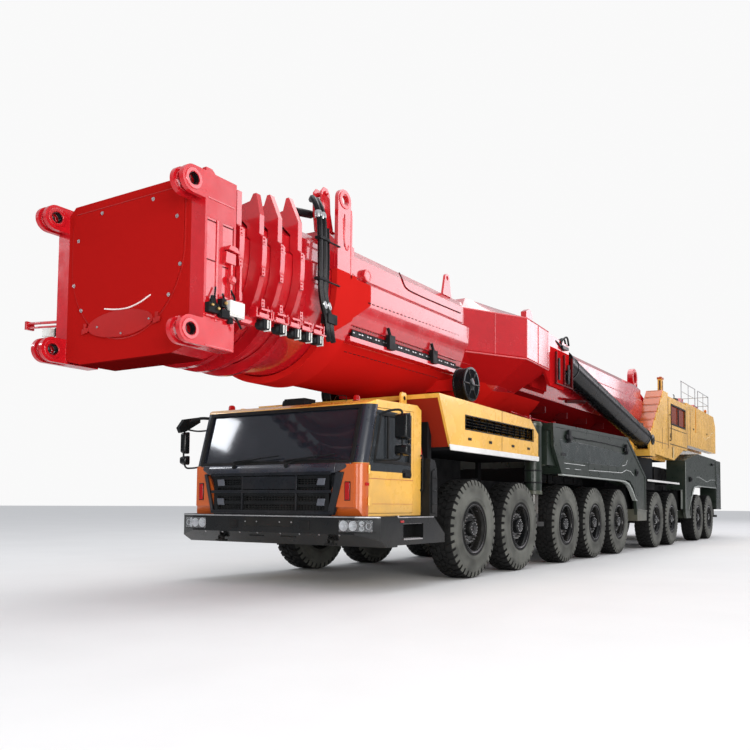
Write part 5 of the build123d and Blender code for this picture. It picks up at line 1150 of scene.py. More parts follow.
def mirrors_and_roof():
    arms, shells, faces = Build(), Build(), Build()
    arms.prism([(9.72, 2.36), (9.72, 2.28), (9.98, 2.13), (10.08, 2.10), (10.12, 2.17), (10.02, 2.30)], "y", -1.66,
        -1.72)
    arms.tube([(9.70, -1.45, 2.33), (9.80, -1.58, 2.33), (9.92, -1.68, 2.27)], 0.022, 10, 4)
    arms.tube([(9.72, -1.45, 2.16), (9.84, -1.58, 2.14), (9.98, -1.68, 2.16)], 0.012, 8, 4)
    arms.tube([(9.98, -1.70, 2.15), (9.99, -1.70, 1.8), (9.97, -1.68, 1.62), (9.92, -1.60, 1.60), (9.86, -1.47, 1.62)],
        0.013, 10, 4)
    for z0, z1, half in ((1.80, 2.13, 0.065), (1.64, 1.785, 0.075)):
        y0, y1 = -1.70 + half, -1.70 - half
        shells.between([(9.93, y0, z0), (9.93, y1, z0), (9.93, y1, z1), (9.93, y0, z1)],
            [(10.02, y0 - 0.02, z0 + 0.03), (10.02, y1 + 0.02, z0 + 0.03), (10.02, y1 + 0.02, z1 - 0.03),
            (10.02, y0 - 0.02, z1 - 0.03)])
        faces.box((9.925, y0 - 0.014, z0 + 0.014), (9.933, y1 + 0.014, z1 - 0.014))
    arms.show("mirror_arms", "door_right", "black", black_plastic)
    shells.show("mirror_shells", "door_right", "black", gloss_black, 0.022, 3)
    faces.show("mirror_faces", "door_right", "chrome", chrome, 0.004)
    arms, shells, faces = Build(), Build(), Build()
    arms.tube([(9.62, 1.458, 2.25), (9.56, 1.56, 2.30), (9.46, 1.68, 2.31), (9.44, 1.69, 2.2)], 0.016, 10, 4)
    arms.tube([(9.70, 1.458, 1.66), (9.62, 1.58, 1.665), (9.48, 1.67, 1.68), (9.45, 1.69, 1.78)], 0.014, 10, 4)
    arms.rod((9.44, 1.69, 2.25), (9.44, 1.69, 1.72), 0.013)
    for z0, z1, half in ((1.925, 2.285, 0.112), (1.715, 1.885, 0.118)):
        shells.between([(9.40, 1.69 - half, z0), (9.40, 1.69 + half, z0), (9.40, 1.69 + half, z1),
            (9.40, 1.69 - half, z1)], [(9.49, 1.67 - half * 0.6, z0 + 0.03), (9.49, 1.67 + half, z0 + 0.03),
            (9.49, 1.67 + half, z1 - 0.03), (9.49, 1.67 - half * 0.6, z1 - 0.03)])
        faces.box((9.394, 1.704 - half, z0 + 0.014), (9.402, 1.676 + half, z1 - 0.014))
    arms.show("near_mirror_arms", "door_left", "black", black_plastic)
    shells.show("near_mirror_shells", "door_left", "black", gloss_black, 0.022, 3)
    faces.show("near_mirror_faces", "door_left", "chrome", chrome, 0.004)
    bases, lenses = Build(), Build()
    for spot in ((9.30, 0.86, cab_high[2] - 0.03), (9.42, -1.33, cab_high[2] - 0.06)):
        bases.turned(spot, UP, [(0, 0.080), (0.025, 0.078), (0.045, 0.058), (0.060, 0.056)], 22)
        lenses.turned(spot, UP, [(0.060, 0.050), (0.115, 0.047), (0.135, 0.034), (0.142, 0.010)], 22)
    bases.box((9.05, -0.42, cab_high[2] - 0.02), (9.30, -0.05, cab_high[2] + 0.13))
    bases.turned((9.22, -0.48, cab_high[2] + 0.06), ACROSS, [(0, 0.05), (0.01, 0.07), (0.43, 0.07), (0.44, 0.05)], 20)
    bases.tube([(9.62, 0.92, 2.44), (9.60, 0.90, 2.53), (9.40, 0.60, 2.57), (9.25, 0.45, 2.55)], 0.006, 6, 4)
    bases.show("beacon_bases", "carrier", "black", black_plastic, 0.01)
    lenses.show("beacon_lenses", "carrier", "red", red_lens)
    lug = Build()
    outline = [(8.51, 2.41), (8.72, 2.41), (8.72, 2.50), (8.68, 2.54), (8.68, 2.655), (8.66, 2.68), (8.56, 2.68),
        (8.54, 2.655), (8.54, 2.54), (8.51, 2.50)]
    lug.prism(outline, "y", 1.15, 1.185)
    lug.turned((8.61, 1.168, 2.60), ACROSS, [(-0.024, 0.045), (0.024, 0.045), (0.024, 0.028), (-0.024, 0.028)], 20,
        closed=True)
    lug.box((8.59, 1.09, 2.405), (8.76, 1.24, 2.425))
    lug.show("cab_lifting_lug", "carrier", "yellow", yellow_paint, 0.003)
    holes = Build()
    holes.turned((8.61, 1.168, 2.60), ACROSS, [(-0.026, 0.028), (0.026, 0.028)], 18)
    holes.show("cab_lug_bore", "carrier", "black", seal_rubber)
    roof = Build()
    for y in (-0.95, -0.35, 0.35, 0.95):
        roof.prism([(8.72, 2.458), (9.60, 2.452), (9.60, 2.462), (8.72, 2.470)], "y", y - 0.03, y + 0.03)
    roof.show("roof_ribs", "carrier", "yellow", yellow_paint, 0.004)
    rear = Build()
    rear.boxes(
        (8.545, -1.30, 1.35, 8.588, 1.30, 1.42),
        (8.560, -0.62, 1.55, 8.588, 0.62, 2.12),
        (8.552, -0.54, 1.63, 8.566, 0.54, 2.04),
    )
    for y in (-1.1, 1.1):
        rear.box((8.55, y - 0.05, 1.0), (8.588, y + 0.05, 2.2))
    rear.show("cab_rear_window", "carrier", "black", black_plastic, 0.008)


def doors():
    window = ((8.865, 1.625), (9.757, 1.625), (9.603, 2.276), (8.865, 2.298))
    for side_name in mirrored():
        body = f"door_{side_name}"
        face = 1.462
        seal = Build()
        inner = ((8.905, 1.665), (9.712, 1.665), (9.575, 2.240), (8.905, 2.260))
        for k in range(4):
            a, b, c, d = window[k], window[(k + 1) % 4], inner[(k + 1) % 4], inner[k]
            seal.prism([a, b, c, d], "y", 1.448, (face + 0.008))
        seal.prism([(9.40, 1.64), (9.43, 1.64), (9.43, 2.26), (9.40, 2.26)], "y", 1.445, (face + 0.004))
        seal.show(f"door_window_seal_{side_name}", body, "black", seal_rubber, 0.004)
        handle = Build()
        pad = [(8.865, 1.452), (9.055, 1.452), (9.068, 1.468), (9.068, 1.545), (9.045, 1.568), (8.875, 1.568),
            (8.855, 1.550), (8.855, 1.466)]
        handle.prism(pad, "y", 1.458, 1.467)
        handle.prism([(8.885, 1.474), (9.04, 1.474), (9.04, 1.522), (8.885, 1.522)], "y", 1.466, 1.492)
        handle.turned((9.035, 1.466, 1.548), ACROSS, [(0, 0.012), (0.006, 0.012), (0.008, 0.006)], 12)
        handle.show(f"door_handle_{side_name}", body, "black", black_plastic, 0.004)
        crease = Build()
        crease.prism([(8.80, 1.420), (9.84, 1.420), (9.84, 1.428), (8.80, 1.428)], "y", 1.456, 1.463)
        crease.prism([(8.80, 1.10), (9.84, 1.10), (9.84, 1.106), (8.80, 1.106)], "y", 1.456, 1.4625)
        crease.show(f"door_crease_{side_name}", body, "yellow", orange_paint, 0.001)
    grips = Build()
    for _ in mirrored():
        grips.tube([(8.60, 1.455, 1.30), (8.60, 1.49, 1.32), (8.60, 1.49, 1.75), (8.60, 1.455, 1.77)], 0.011, 8, 4)
    grips.show("cab_grab_handles", "carrier", "black", black_plastic)
    guards = Build()
    for _ in mirrored():
        shape = [(8.365, 0.93), (8.365, 1.30), (8.38, 1.60), (8.44, 1.72), (8.565, 1.74), (8.575, 1.68), (8.575, 0.93)]
        guards.prism(shape, "y", 1.12, 1.60)
        guards.prism([(8.40, 0.98), (8.54, 0.98), (8.54, 1.56), (8.44, 1.60), (8.41, 1.45)], "y", 1.598, 1.618)
        for z in (1.10, 1.28, 1.46):
            guards.box((8.42, 1.612, z), (8.53, 1.626, z + 0.02))
    guards.show("front_mudguards", "carrier", "black", black_plastic, 0.012)


# ---------------------------------------------------------------- engine housing and decks
def housing():
    strips = Build()
    for _ in mirrored():
        strips.prism([(4.965, 1.885), (8.150, 1.885), (8.165, 1.925), (8.185, 1.965), (4.965, 1.965)], "y", 1.678,
            1.692)
    strips.show("housing_bright_strip", "carrier", "silver", deck_white, 0.003)
    seams, latches, frames = Build(), Build(), Build()
    for _ in mirrored():
        seams.boxes(
            (6.42, 1.679, 1.97, 6.428, 1.6835, 2.21),
            (6.42, 1.679, 2.44, 6.428, 1.6835, 2.62),
        )
        for x in (5.30, 5.95, 6.80, 7.50):
            latches.box((x, 1.680, 2.06), (x + 0.10, 1.690, 2.10))
            latches.turned((x + 0.05, 1.688, 2.08), ACROSS, [(0, 0.014), (0.006, 0.014), (0.008, 0.007)], 10)
        for z in (2.212, 2.420):
            frames.box((5.13, 1.676, z), (7.70, 1.688, z + 0.016))
        for x in (5.13, 7.684):
            frames.box((x, 1.676, 2.212), (x + 0.016, 1.688, 2.436))
        for i in range(3):
            z = 2.265 + 0.045 * i
            frames.prism([(1.600, z), (1.668, z + 0.018), (1.668, z + 0.024), (1.600, z + 0.006)], "x", 5.16, 7.67)
    seams.show("housing_seams", "carrier", "yellow", seam_brown)
    latches.show("housing_latches", "carrier", "black", black_plastic, 0.003)
    frames.show("housing_slot_louvres", "carrier", "black", gloss_black, 0.002)
    # A black sheet in the gap between cab and housing: painted shade.
    gap = Build()
    gap.box((8.20, -1.40, 1.58), (8.30, 1.40, 2.30))
    gap.show("cab_rear_gap_shade", "carrier", "black", chassis_black, 0.01)
    top = Build()
    slope = (2.66 - 2.60) / (8.48 - 5.30)
    for i in range(22):
        x = 5.55 + 0.105 * i
        z = 2.601 + slope * (x - 5.30)
        top.prism([(x, z), (x + 0.07, z + 0.016), (x + 0.07, z + 0.022), (x, z + 0.006)], "y", -0.95, 0.95)
    for y in (-0.97, 0.97):
        top.prism([(5.50, 2.598), (7.92, 2.642), (7.92, 2.664), (5.50, 2.622)], "y", y - 0.02, y + 0.02)
    top.show("radiator_top_grille", "carrier", "black", black_plastic)
    pipes, stack = Build(), Build()
    for _ in mirrored():
        pipes.tube([(8.34, 1.30, 1.52), (8.34, 1.30, 1.80), (8.42, 1.30, 2.05), (8.50, 1.28, 2.35)], 0.028, 10)
        pipes.tube([(8.30, 1.02, 1.52), (8.30, 1.02, 1.75), (8.40, 1.02, 2.02), (8.46, 1.02, 2.20)], 0.022, 10)
        stack.box((8.28, 0.62, 1.50), (8.52, 0.96, 1.95))
        for i in range(8):
            stack.box((8.515, 0.66, 1.56 + 0.045 * i), (8.530, 0.92, 1.575 + 0.045 * i))
    pipes.show("cab_rear_pipes", "carrier", "red", red_paint)
    stack.show("air_filter_boxes", "carrier", "black", black_plastic, 0.01)


# ---------------------------------------------------------------- outrigger arms
ARM_FACE = 1.694


def bead(build, points, radius, y=ARM_FACE):
    """A bar that follows (x, z) points on a side face."""
    build.tube([(x, y, z) for x, z in points], radius, 6, 1)


def outriggers():
    for side_name in mirrored():
        body = f"outrigger_arm_front_{side_name}"
        lip, fixtures, marks, foot = Build(), Build(), Build(), Build()
        # The arm's top lip is light grey-green: painted highlight along the lit top edge.
        lip.prism([(3.80, 1.700), (0.10, 1.700), (-0.30, 1.690), (-0.62, 1.640), (-0.90, 1.500), (-1.18, 1.270),
            (-1.30, 1.240), (-1.30, 1.215), (-1.15, 1.240), (-0.86, 1.460), (-0.60, 1.600), (-0.30, 1.655),
            (0.10, 1.668), (3.80, 1.672)], "y", 1.62, 1.712)
        lip.show(f"arm_front_lip_{side_name}", body, "green", green_edge_highlight, 0.004)
        for x, z in ((3.42, 2.43), (-0.40, 2.42)):
            fixtures.boxes(
                (x - 0.17, 1.690, z - 0.04, x + 0.17, 1.730, z + 0.04),
                (x - 0.03, 1.690, z - 0.11, x + 0.09, 1.745, z + 0.13),
            )
            fixtures.turned((x + 0.05, 1.74, z - 0.06), ACROSS, [(0, 0.035), (0.02, 0.035), (0.026, 0.02)], 14)
        bead(fixtures, ((3.30, 2.44), (1.5, 2.47), (-0.25, 2.47)), 0.012, 1.70)
        fixtures.turned((-1.30, 1.69, 1.92), ACROSS, [(0, 0.09), (0.02, 0.09), (0.026, 0.05), (0.05, 0.04)], 20)
        fixtures.box((3.55, 1.675, 2.05), (3.80, 1.688, 2.11))
        fixtures.show(f"arm_front_fixtures_{side_name}", body, "black", black_plastic, 0.006)
        # Light grey-green weld beads: painted highlight on them.
        bead(marks, ((3.64, 1.915), (2.46, 1.920)), 0.007, 1.684)
        bead(marks, ((3.55, 1.815), (3.35, 1.815)), 0.007, 1.684)
        bead(marks, ((3.05, 1.820), (2.70, 1.820)), 0.007, 1.684)
        bead(marks, ((2.21, 1.833), (-0.10, 1.870), (-0.45, 1.950), (-0.80, 1.930), (-1.06, 1.843)), 0.008, 1.684)
        bead(marks, ((-0.14, 2.034), (-0.40, 2.07), (-0.53, 2.185)), 0.008, 1.684)
        marks.show(f"arm_front_weld_lines_{side_name}", body, "green", green_edge_highlight)
        foot.prism([(-1.33, 0.735), (-2.16, 0.735), (-2.16, 0.99), (-1.31, 1.01)], "y", 1.44, 1.700)
        foot.prism([(-1.30, 0.99), (-2.18, 0.965), (-2.18, 0.995), (-1.30, 1.025)], "y", 1.42, 1.712)
        foot.show(f"arm_front_foot_{side_name}", body, "green", foot_green, 0.008)
        panel = Build()
        panel.prism([(3.90, 2.36), (3.62, 2.00), (2.30, 1.98), (0.10, 2.00), (-0.32, 2.22), (-0.32, 2.33), (1.6, 2.36)],
            "y", 1.679, 1.6835)
        for x in (2.2, 0.9):
            panel.prism([(x, 2.37), (x - 0.012, 2.37), (x - 0.012, 1.84), (x, 1.84)], "y", 1.679, 1.687)
        panel.show(f"arm_front_panel_{side_name}", body, "green", panel_green, 0.003)
        body = f"outrigger_arm_rear_{side_name}"
        lip, fixtures, marks = Build(), Build(), Build()
        # The rear arm's top lip and upright edge are light grey-green: painted highlight.
        lip.prism([(-7.02, 0.99), (-7.10, 0.99), (-7.52, 1.56), (-7.80, 1.72), (-8.32, 1.770), (-11.35, 1.770),
            (-11.35, 1.742), (-8.30, 1.742), (-7.84, 1.690), (-7.60, 1.53)], "y", 1.62, 1.712)
        lip.prism([(-6.585, 1.02), (-6.60, 1.02), (-6.60, 2.46), (-6.585, 2.44)], "y", 1.55, 1.705)
        lip.show(f"arm_rear_lip_{side_name}", body, "green", green_edge_highlight, 0.004)
        # Light grey-green weld beads: painted highlight on them.
        bead(marks, ((-8.20, 2.04), (-8.60, 2.06), (-9.30, 1.98), (-9.85, 1.93), (-10.45, 2.02), (-11.30, 2.04)), 0.008,
            1.684)
        marks.show(f"arm_rear_weld_lines_{side_name}", body, "green", green_edge_highlight)
        fixtures.boxes(
            (-7.36, 1.690, 1.86, -7.14, 1.735, 2.02),
            (-10.9, 1.690, 2.52, -10.6, 1.730, 2.60),
        )
        fixtures.turned((-7.25, 1.735, 1.94), ACROSS, [(0, 0.04), (0.02, 0.04), (0.026, 0.02)], 14)
        fixtures.show(f"arm_rear_fixtures_{side_name}", body, "black", black_plastic, 0.006)
        body = f"outrigger_beam_rear_{side_name}"
        edge, plates, lamps = Build(), Build(), Build()
        edge.prism([(-11.42, 1.012), (-12.285, 1.012), (-12.285, 1.045), (-11.42, 1.045)], "y", 1.14, 1.70)
        for x in (-11.45, -12.24):
            edge.box((x - 0.012, 1.675, 1.06), (x + 0.012, 1.694, 2.70))
        edge.show(f"rear_box_edges_{side_name}", body, "green", panel_green, 0.004)
        plates.boxes(
            (-11.60, 1.676, 1.35, -12.10, 1.690, 2.25),
            (-12.306, 1.22, 1.30, -12.316, 1.60, 2.30),
        )
        for z in (1.42, 2.18):
            for x in (-11.66, -12.04):
                plates.nut((x, 1.690, z), ACROSS, 0.018, 0.012)
        plates.show(f"rear_box_covers_{side_name}", body, "green", panel_green, 0.006)
        lamps.box((-12.30, 1.24, 1.10), (-12.335, 1.58, 1.24))
        lamps.show(f"tail_lamps_{side_name}", body, "red", red_lens, 0.01)
        body = f"outrigger_beam_front_{side_name}"
        trims, dark = Build(), Build()
        trims.box((4.44, 1.250, 1.835), (4.36, 1.592, 1.850))
        trims.turned((4.50, 1.405, 2.56), UP, [(0, 0.170), (0.05, 0.170), (0.06, 0.150), (0.075, 0.150)], 32)
        trims.turned((4.50, 1.405, 1.30), UP, [(0, 0.170), (0.06, 0.170), (0.07, 0.160)], 32)
        trims.show(f"front_jack_collars_{side_name}", body, "green", foot_green, 0.004)
        for z in (1.50, 1.72):
            dark.turned((4.50, 1.405, z), UP, [(0, 0.1665), (0.03, 0.1665)], 32)
        dark.tube([(4.40, 1.28, 2.52), (4.20, 1.24, 2.56), (3.9, 1.26, 2.53)], 0.016)
        dark.box((4.34, 1.330, 1.95), (4.30, 1.48, 2.40))
        dark.show(f"front_jack_bands_{side_name}", body, "black", black_plastic, 0.004)


# ---------------------------------------------------------------- superstructure
def superstructure():
    body = "superstructure"
    face = house_high[1]
    treads, slots = Build(), Build()
    rise, run = 1.43 / 6, 1.50 / 6
    for i in range(6):
        x = -3.46 - run * i
        z = 3.0 + rise * i
        for _ in mirrored():
            y0, y1 = 0.985, 1.46
            treads.prism([(x + 0.055, z + 0.02), (x + 0.055, z + 0.05), (x - 0.135, z + rise + 0.022),
                (x - 0.175, z + rise + 0.022), (x - 0.135, z + rise - 0.01)], "y", y0, y1)
            slots.prism([(x - 0.01, z + 0.002), (x + 0.012, z + 0.018), (x - 0.115, z + rise + 0.004),
                (x - 0.125, z + rise - 0.02)], "y", y0 + 0.05, y1 - 0.05)
    treads.show("louvre_fins", body, "yellow", orange_paint, 0.004)
    slots.show("louvre_slots", body, "black", seam_brown)
    seams = Build()
    for _ in mirrored():
        y = face - 0.002
        for x, z0, z1, w in ((-4.68, 2.74, 3.34, 0.025), (-5.36, 2.80, 4.28, 0.035), (-7.83, 2.92, 4.28, 0.04),
                (-8.30, 3.10, 4.34, 0.03)):
            seams.box((x, y, z0), (x - w, y + 0.007, z1))
        seams.box((-3.55, y, 2.90), (-5.35, y + 0.005, 2.915))
    seams.show("house_seams", body, "yellow", seam_brown)
    # Pale yellow lines on the house's step edges: painted highlight.
    lines = Build()
    for _ in mirrored():
        y = face - 0.001
        bead(lines, ((-10.25, 3.50), (-10.75, 3.46), (-11.35, 3.58), (-11.80, 3.76), (-12.05, 3.79)), 0.010, face)
        lines.box((-5.95, y, 2.52), (-6.05, y + 0.008, 2.95))
    lines.show("house_step_edges", body, "yellow", yellow_edge_highlight)
    latch = Build()
    for _ in mirrored():
        latch.box((-5.88, (face - 0.003), 2.54), (-5.93, (face + 0.010), 2.96))
        latch.box((-5.60, (face - 0.003), 3.12), (-5.66, (face + 0.014), 3.26))
        latch.turned((-5.63, (face + 0.012), 3.16), ACROSS, [(0, 0.028), (0.02, 0.028), (0.026, 0.014)], 12)
        for x in (-8.75, -10.9):
            latch.box((x, (face - 0.003), 3.62), (x - 0.10, (face + 0.014), 3.67))
    latch.show("house_latches", body, "black", black_plastic, 0.004)
    pipes, bright = Build(), Build()
    for _ in mirrored():
        y = face - 0.055
        for i, x in enumerate((-9.11, -9.155, -9.20)):
            pipes.tube([(x, y, 4.36), (x, y, 4.0), (x + 0.01 * i, y, 3.60)], 0.016, 8, 2)
        for z in (3.70, 3.95, 4.20):
            bright.box((-9.085, y - 0.02, z), (-9.215, y + 0.03, z + 0.045))
    pipes.show("groove_pipes", body, "red", red_paint)
    bright.show("groove_clamps", body, "red", red_paint, 0.004)
    # crane cab
    gasket, pane, frame_bar = Build(), Build(), Build()
    y = crane_cab_high[1]
    for x0, x1, z0, z1 in ((-7.55, -5.70, 3.52, 3.57), (-7.55, -5.70, 4.10, 4.15), (-7.58, -7.53, 3.52, 4.15),
            (-5.72, -5.67, 3.52, 4.15), (-6.66, -6.62, 3.57, 4.10)):
        gasket.box((x0, y - 0.015, z0), (x1, y + 0.012, z1))
    gasket.show("crane_cab_gasket", body, "black", seal_rubber, 0.005)
    pane.boxes(
        (-7.54, y - 0.032, 3.56, -5.71, y - 0.024, 4.11),
        (-5.44, 1.21, 3.31, -5.432, 1.39, 4.19),
    )
    pane.show("crane_cab_panes", body, "glass", crane_glass)
    frame_bar.boxes(
        (-7.70, y - 0.002, 2.93, -5.55, y + 0.006, 2.95),
        (-7.70, y - 0.002, 3.40, -5.55, y + 0.008, 3.415),
    )
    frame_bar.tube([(-5.50, y + 0.002, 3.05), (-5.50, y + 0.05, 3.08), (-5.50, y + 0.05, 3.75),
        (-5.50, y + 0.002, 3.78)], 0.012)
    frame_bar.tube([(-5.36, 1.30, 4.05), (-5.33, 1.30, 4.25), (-5.36, 1.30, 4.34)], 0.010)
    frame_bar.show("crane_cab_trim", body, "black", black_plastic, 0.003)
    seat = Build()
    seat.box((-6.90, 1.20, 3.05), (-6.35, 1.42, 3.28))
    seat.prism([(-6.98, 3.25), (-6.86, 3.25), (-6.92, 3.98), (-7.02, 3.98)], "y", 1.20, 1.42)
    seat.box((-6.92, 1.24, 2.92), (-6.50, 1.38, 3.06))
    seat.show("crane_cab_seat", body, "interior", fabric, 0.03, 3)
    console = Build()
    console.box((-5.95, 1.18, 2.92), (-5.60, 1.43, 3.50))
    console.rod((-6.20, 1.24, 2.92), (-6.25, 1.24, 3.45), 0.018)
    console.turned((-6.25, 1.24, 3.45), UP, [(0, 0.02), (0.03, 0.035), (0.08, 0.03), (0.10, 0.012)], 12)
    console.show("crane_cab_console", body, "black", black_plastic, 0.01)
    roof = Build()
    roof.box((-7.62, 1.16, 4.325), (-5.60, 1.46, 4.350))
    for x in (-7.3, -6.7, -6.1):
        roof.box((x, 1.18, 4.345), (x + 0.30, 1.44, 4.365))
    roof.show("crane_cab_roof_plates", body, "yellow", orange_paint, 0.006)
    # mast with its dark slot, and the items on the roof
    slot = Build()
    slot.boxes(
        (-6.22, 1.108, 4.42, -6.28, 1.114, 4.94),
        (-6.152, 1.02, 4.42, -6.157, 1.08, 4.94),
        (-6.16, 0.99, 4.38, -6.34, 1.112, 4.40),
    )
    slot.show("mast_slots", body, "black", seam_brown)
    cap = Build()
    cap.box((-6.13, 0.97, 4.98), (-6.37, 1.125, 5.04))
    cap.turned((-6.25, 1.05, 5.03), UP, [(0, 0.05), (0.03, 0.05), (0.04, 0.03)], 16)
    cap.box((-6.12, 0.975, 4.33), (-6.38, 1.12, 4.36))
    cap.show("mast_cap", body, "yellow", orange_paint, 0.006)
    black_items, red_items = Build(), Build()
    for _ in mirrored():
        if Build.side > 0:
            black_items.box((-6.85, 1.20, 4.36), (-7.10, 1.38, 4.46))
        black_items.tube([(-6.98, 1.28, 4.42), (-7.0, 1.28, 4.56), (-7.06, 1.24, 4.60)], 0.016)
        for x in (-8.05, -8.55):
            black_items.turned((x, 1.22, 4.42), UP, [(0, 0.07), (0.05, 0.07), (0.07, 0.05), (0.10, 0.05)], 18)
        red_items.box((-7.95, 1.04, 4.42), (-9.90, 1.16, 4.50))
        red_items.prism([(-7.85, 4.42), (-8.20, 4.42), (-8.15, 4.58), (-7.95, 4.60)], "y", 1.05, 1.30)
        red_items.prism([(-9.30, 4.42), (-10.10, 4.42), (-10.0, 4.52), (-9.4, 4.54)], "y", 1.05, 1.38)
    black_items.tube([(-7.2, 0.9, 4.36), (-7.25, 0.95, 4.50), (-7.15, 1.05, 4.52), (-7.1, 1.12, 4.42)], 0.018)
    black_items.show("roof_fittings", body, "black", black_plastic, 0.006)
    red_items.show("roof_red_guards", body, "red", red_paint, 0.01)
    # hand rails round the walkway
    rails = Build()
    for _ in mirrored():
        y = 1.41
        for x0, x1 in ((-7.40, -9.40), (-9.85, -11.60)):
            rails.rod((x0, y, 4.74), (x1, y, 4.74), 0.010, 8)
            rails.tube([(x0, y, 4.42), (x0, y, 5.0), (x0 - 0.06, y, 5.06), ((x0 + x1) / 2, y, 5.06),
                (x1 + 0.06, y, 5.06), (x1, y, 5.0), (x1, y, 4.30)], 0.015, 8, 3)
            rails.rod(((x0 + x1) / 2, y, 4.40), ((x0 + x1) / 2, y, 5.06), 0.012, 8)
            for x in (x0, x1):
                rails.box((x - 0.05, y - 0.04, 4.385), (x + 0.05, y + 0.04, 4.40))
    for z in (4.74, 5.06):
        rails.rod((-11.62, -1.41, z), (-11.62, 1.41, z), 0.012, 8)
    rails.show("walkway_rails", body, "silver", rail_grey)
    walk = Build()
    for _ in mirrored():
        for i in range(30):
            x = -7.5 - 0.14 * i
            walk.box((x, 1.20, 4.389), (x - 0.03, 1.44, 4.400))
        walk.box((-7.45, 1.185, 4.388), (-11.65, 1.20, 4.43))
    walk.show("walkway_treads", body, "silver", grey_paint)
    # winch rope, motor and guards
    rope, guard = Build(), Build()
    wx, wz = (winch_low[0] + winch_high[0]) / 2, 3.78
    for layer, radius in ((0, 0.318), (1, 0.346)):
        for i in range(46 - 2 * layer):
            y0 = -0.62 + 0.0272 * i + 0.0136 * layer
            rope.turned((wx, y0, wz), ACROSS, [(-0.0135, radius - 0.008), (-0.006, radius + 0.004),
                (0.006, radius + 0.004), (0.0135, radius - 0.008)], 36)
    rope.tube([(wx + 0.32, 0.1, wz + 0.14), (wx + 0.9, 0.09, wz + 0.45), (wx + 1.6, 0.08, wz + 0.60),
        (-6.2, 0.06, 4.46)], 0.014)
    rope.show("winch_rope", body, "silver", rope_steel)
    for _ in mirrored():
        for k in range(10):
            turn = 2 * math.pi * k / 10
            guard.nut((wx + 0.25 * math.cos(turn), 0.70, wz + 0.25 * math.sin(turn)), ACROSS, 0.022, 0.018)
        guard.turned((wx, 0.70, wz), ACROSS, [(0, 0.17), (0.10, 0.17), (0.12, 0.14), (0.20, 0.13), (0.21, 0.08)], 28)
    guard.show("winch_motors", body, "black", gloss_black, 0.003)
    # turntable: slewing ring bolts and pivot caps; its dark lower ring is painted in turntable_finish
    ring, teeth = Build(), Build()
    for k in range(60):
        turn = 2 * math.pi * k / 60
        ring.nut((-4.10 + 1.20 * math.cos(turn), 1.20 * math.sin(turn), 2.10), (math.cos(turn), math.sin(turn), 0),
            0.022, 0.03)
    ring.show("ring_bolts", body, "silver", steel)
    for _ in mirrored():
        teeth.turned((-5.05, 1.12, 3.80), ACROSS, [(-0.02, 0.185), (0.03, 0.185), (0.04, 0.165), (0.05, 0.09)], 30)
        teeth.turned((-3.10, 1.62, 2.87), ACROSS, [(-0.03, 0.135), (0.020, 0.135), (0.030, 0.115), (0.034, 0.05)], 28)
    teeth.show("pivot_caps", body, "black", gloss_black, 0.003)
    rear = Build()
    for i in range(9):
        z = 3.20 + 0.11 * i
        rear.prism([(house_low[0] - 0.001, z), (house_low[0] - 0.030, z - 0.02), (house_low[0] - 0.030, z + 0.005),
            (house_low[0] - 0.001, z + 0.03)], "y", -0.85, 0.85)
    rear.box((house_low[0] + 0.004, -0.92, 3.14), (house_low[0] - 0.012, 0.92, 4.24))
    rear.show("house_rear_louvres", body, "black", black_plastic, 0.003)
    beacon, lens = Build(), Build()
    for _ in mirrored():
        beacon.turned((-11.75, 1.28, 4.36), UP, [(0, 0.05), (0.04, 0.05), (0.05, 0.035), (0.16, 0.035)], 18)
        lens.turned((-11.75, 1.28, 4.52), UP, [(0, 0.05), (0.07, 0.048), (0.10, 0.03), (0.11, 0.01)], 20)
    beacon.show("rear_beacon_bases", body, "black", black_plastic)
    lens.show("rear_beacon_lenses", body, "red", amber_lens)
    hoses = Build()
    for i, y in enumerate((-0.34, -0.20, -0.06, 0.08, 0.22, 0.36)):
        hoses.tube([(-5.95, y, 2.62), (-5.75, y, 2.95 + 0.02 * i), (-5.35, y * 0.9, 3.25), (-4.75, y * 0.9, 3.05),
            (-4.45, y * 0.8, 2.72)], 0.022, 8, 5)
    hoses.show("slewing_hoses", body, "black", hose_rubber)


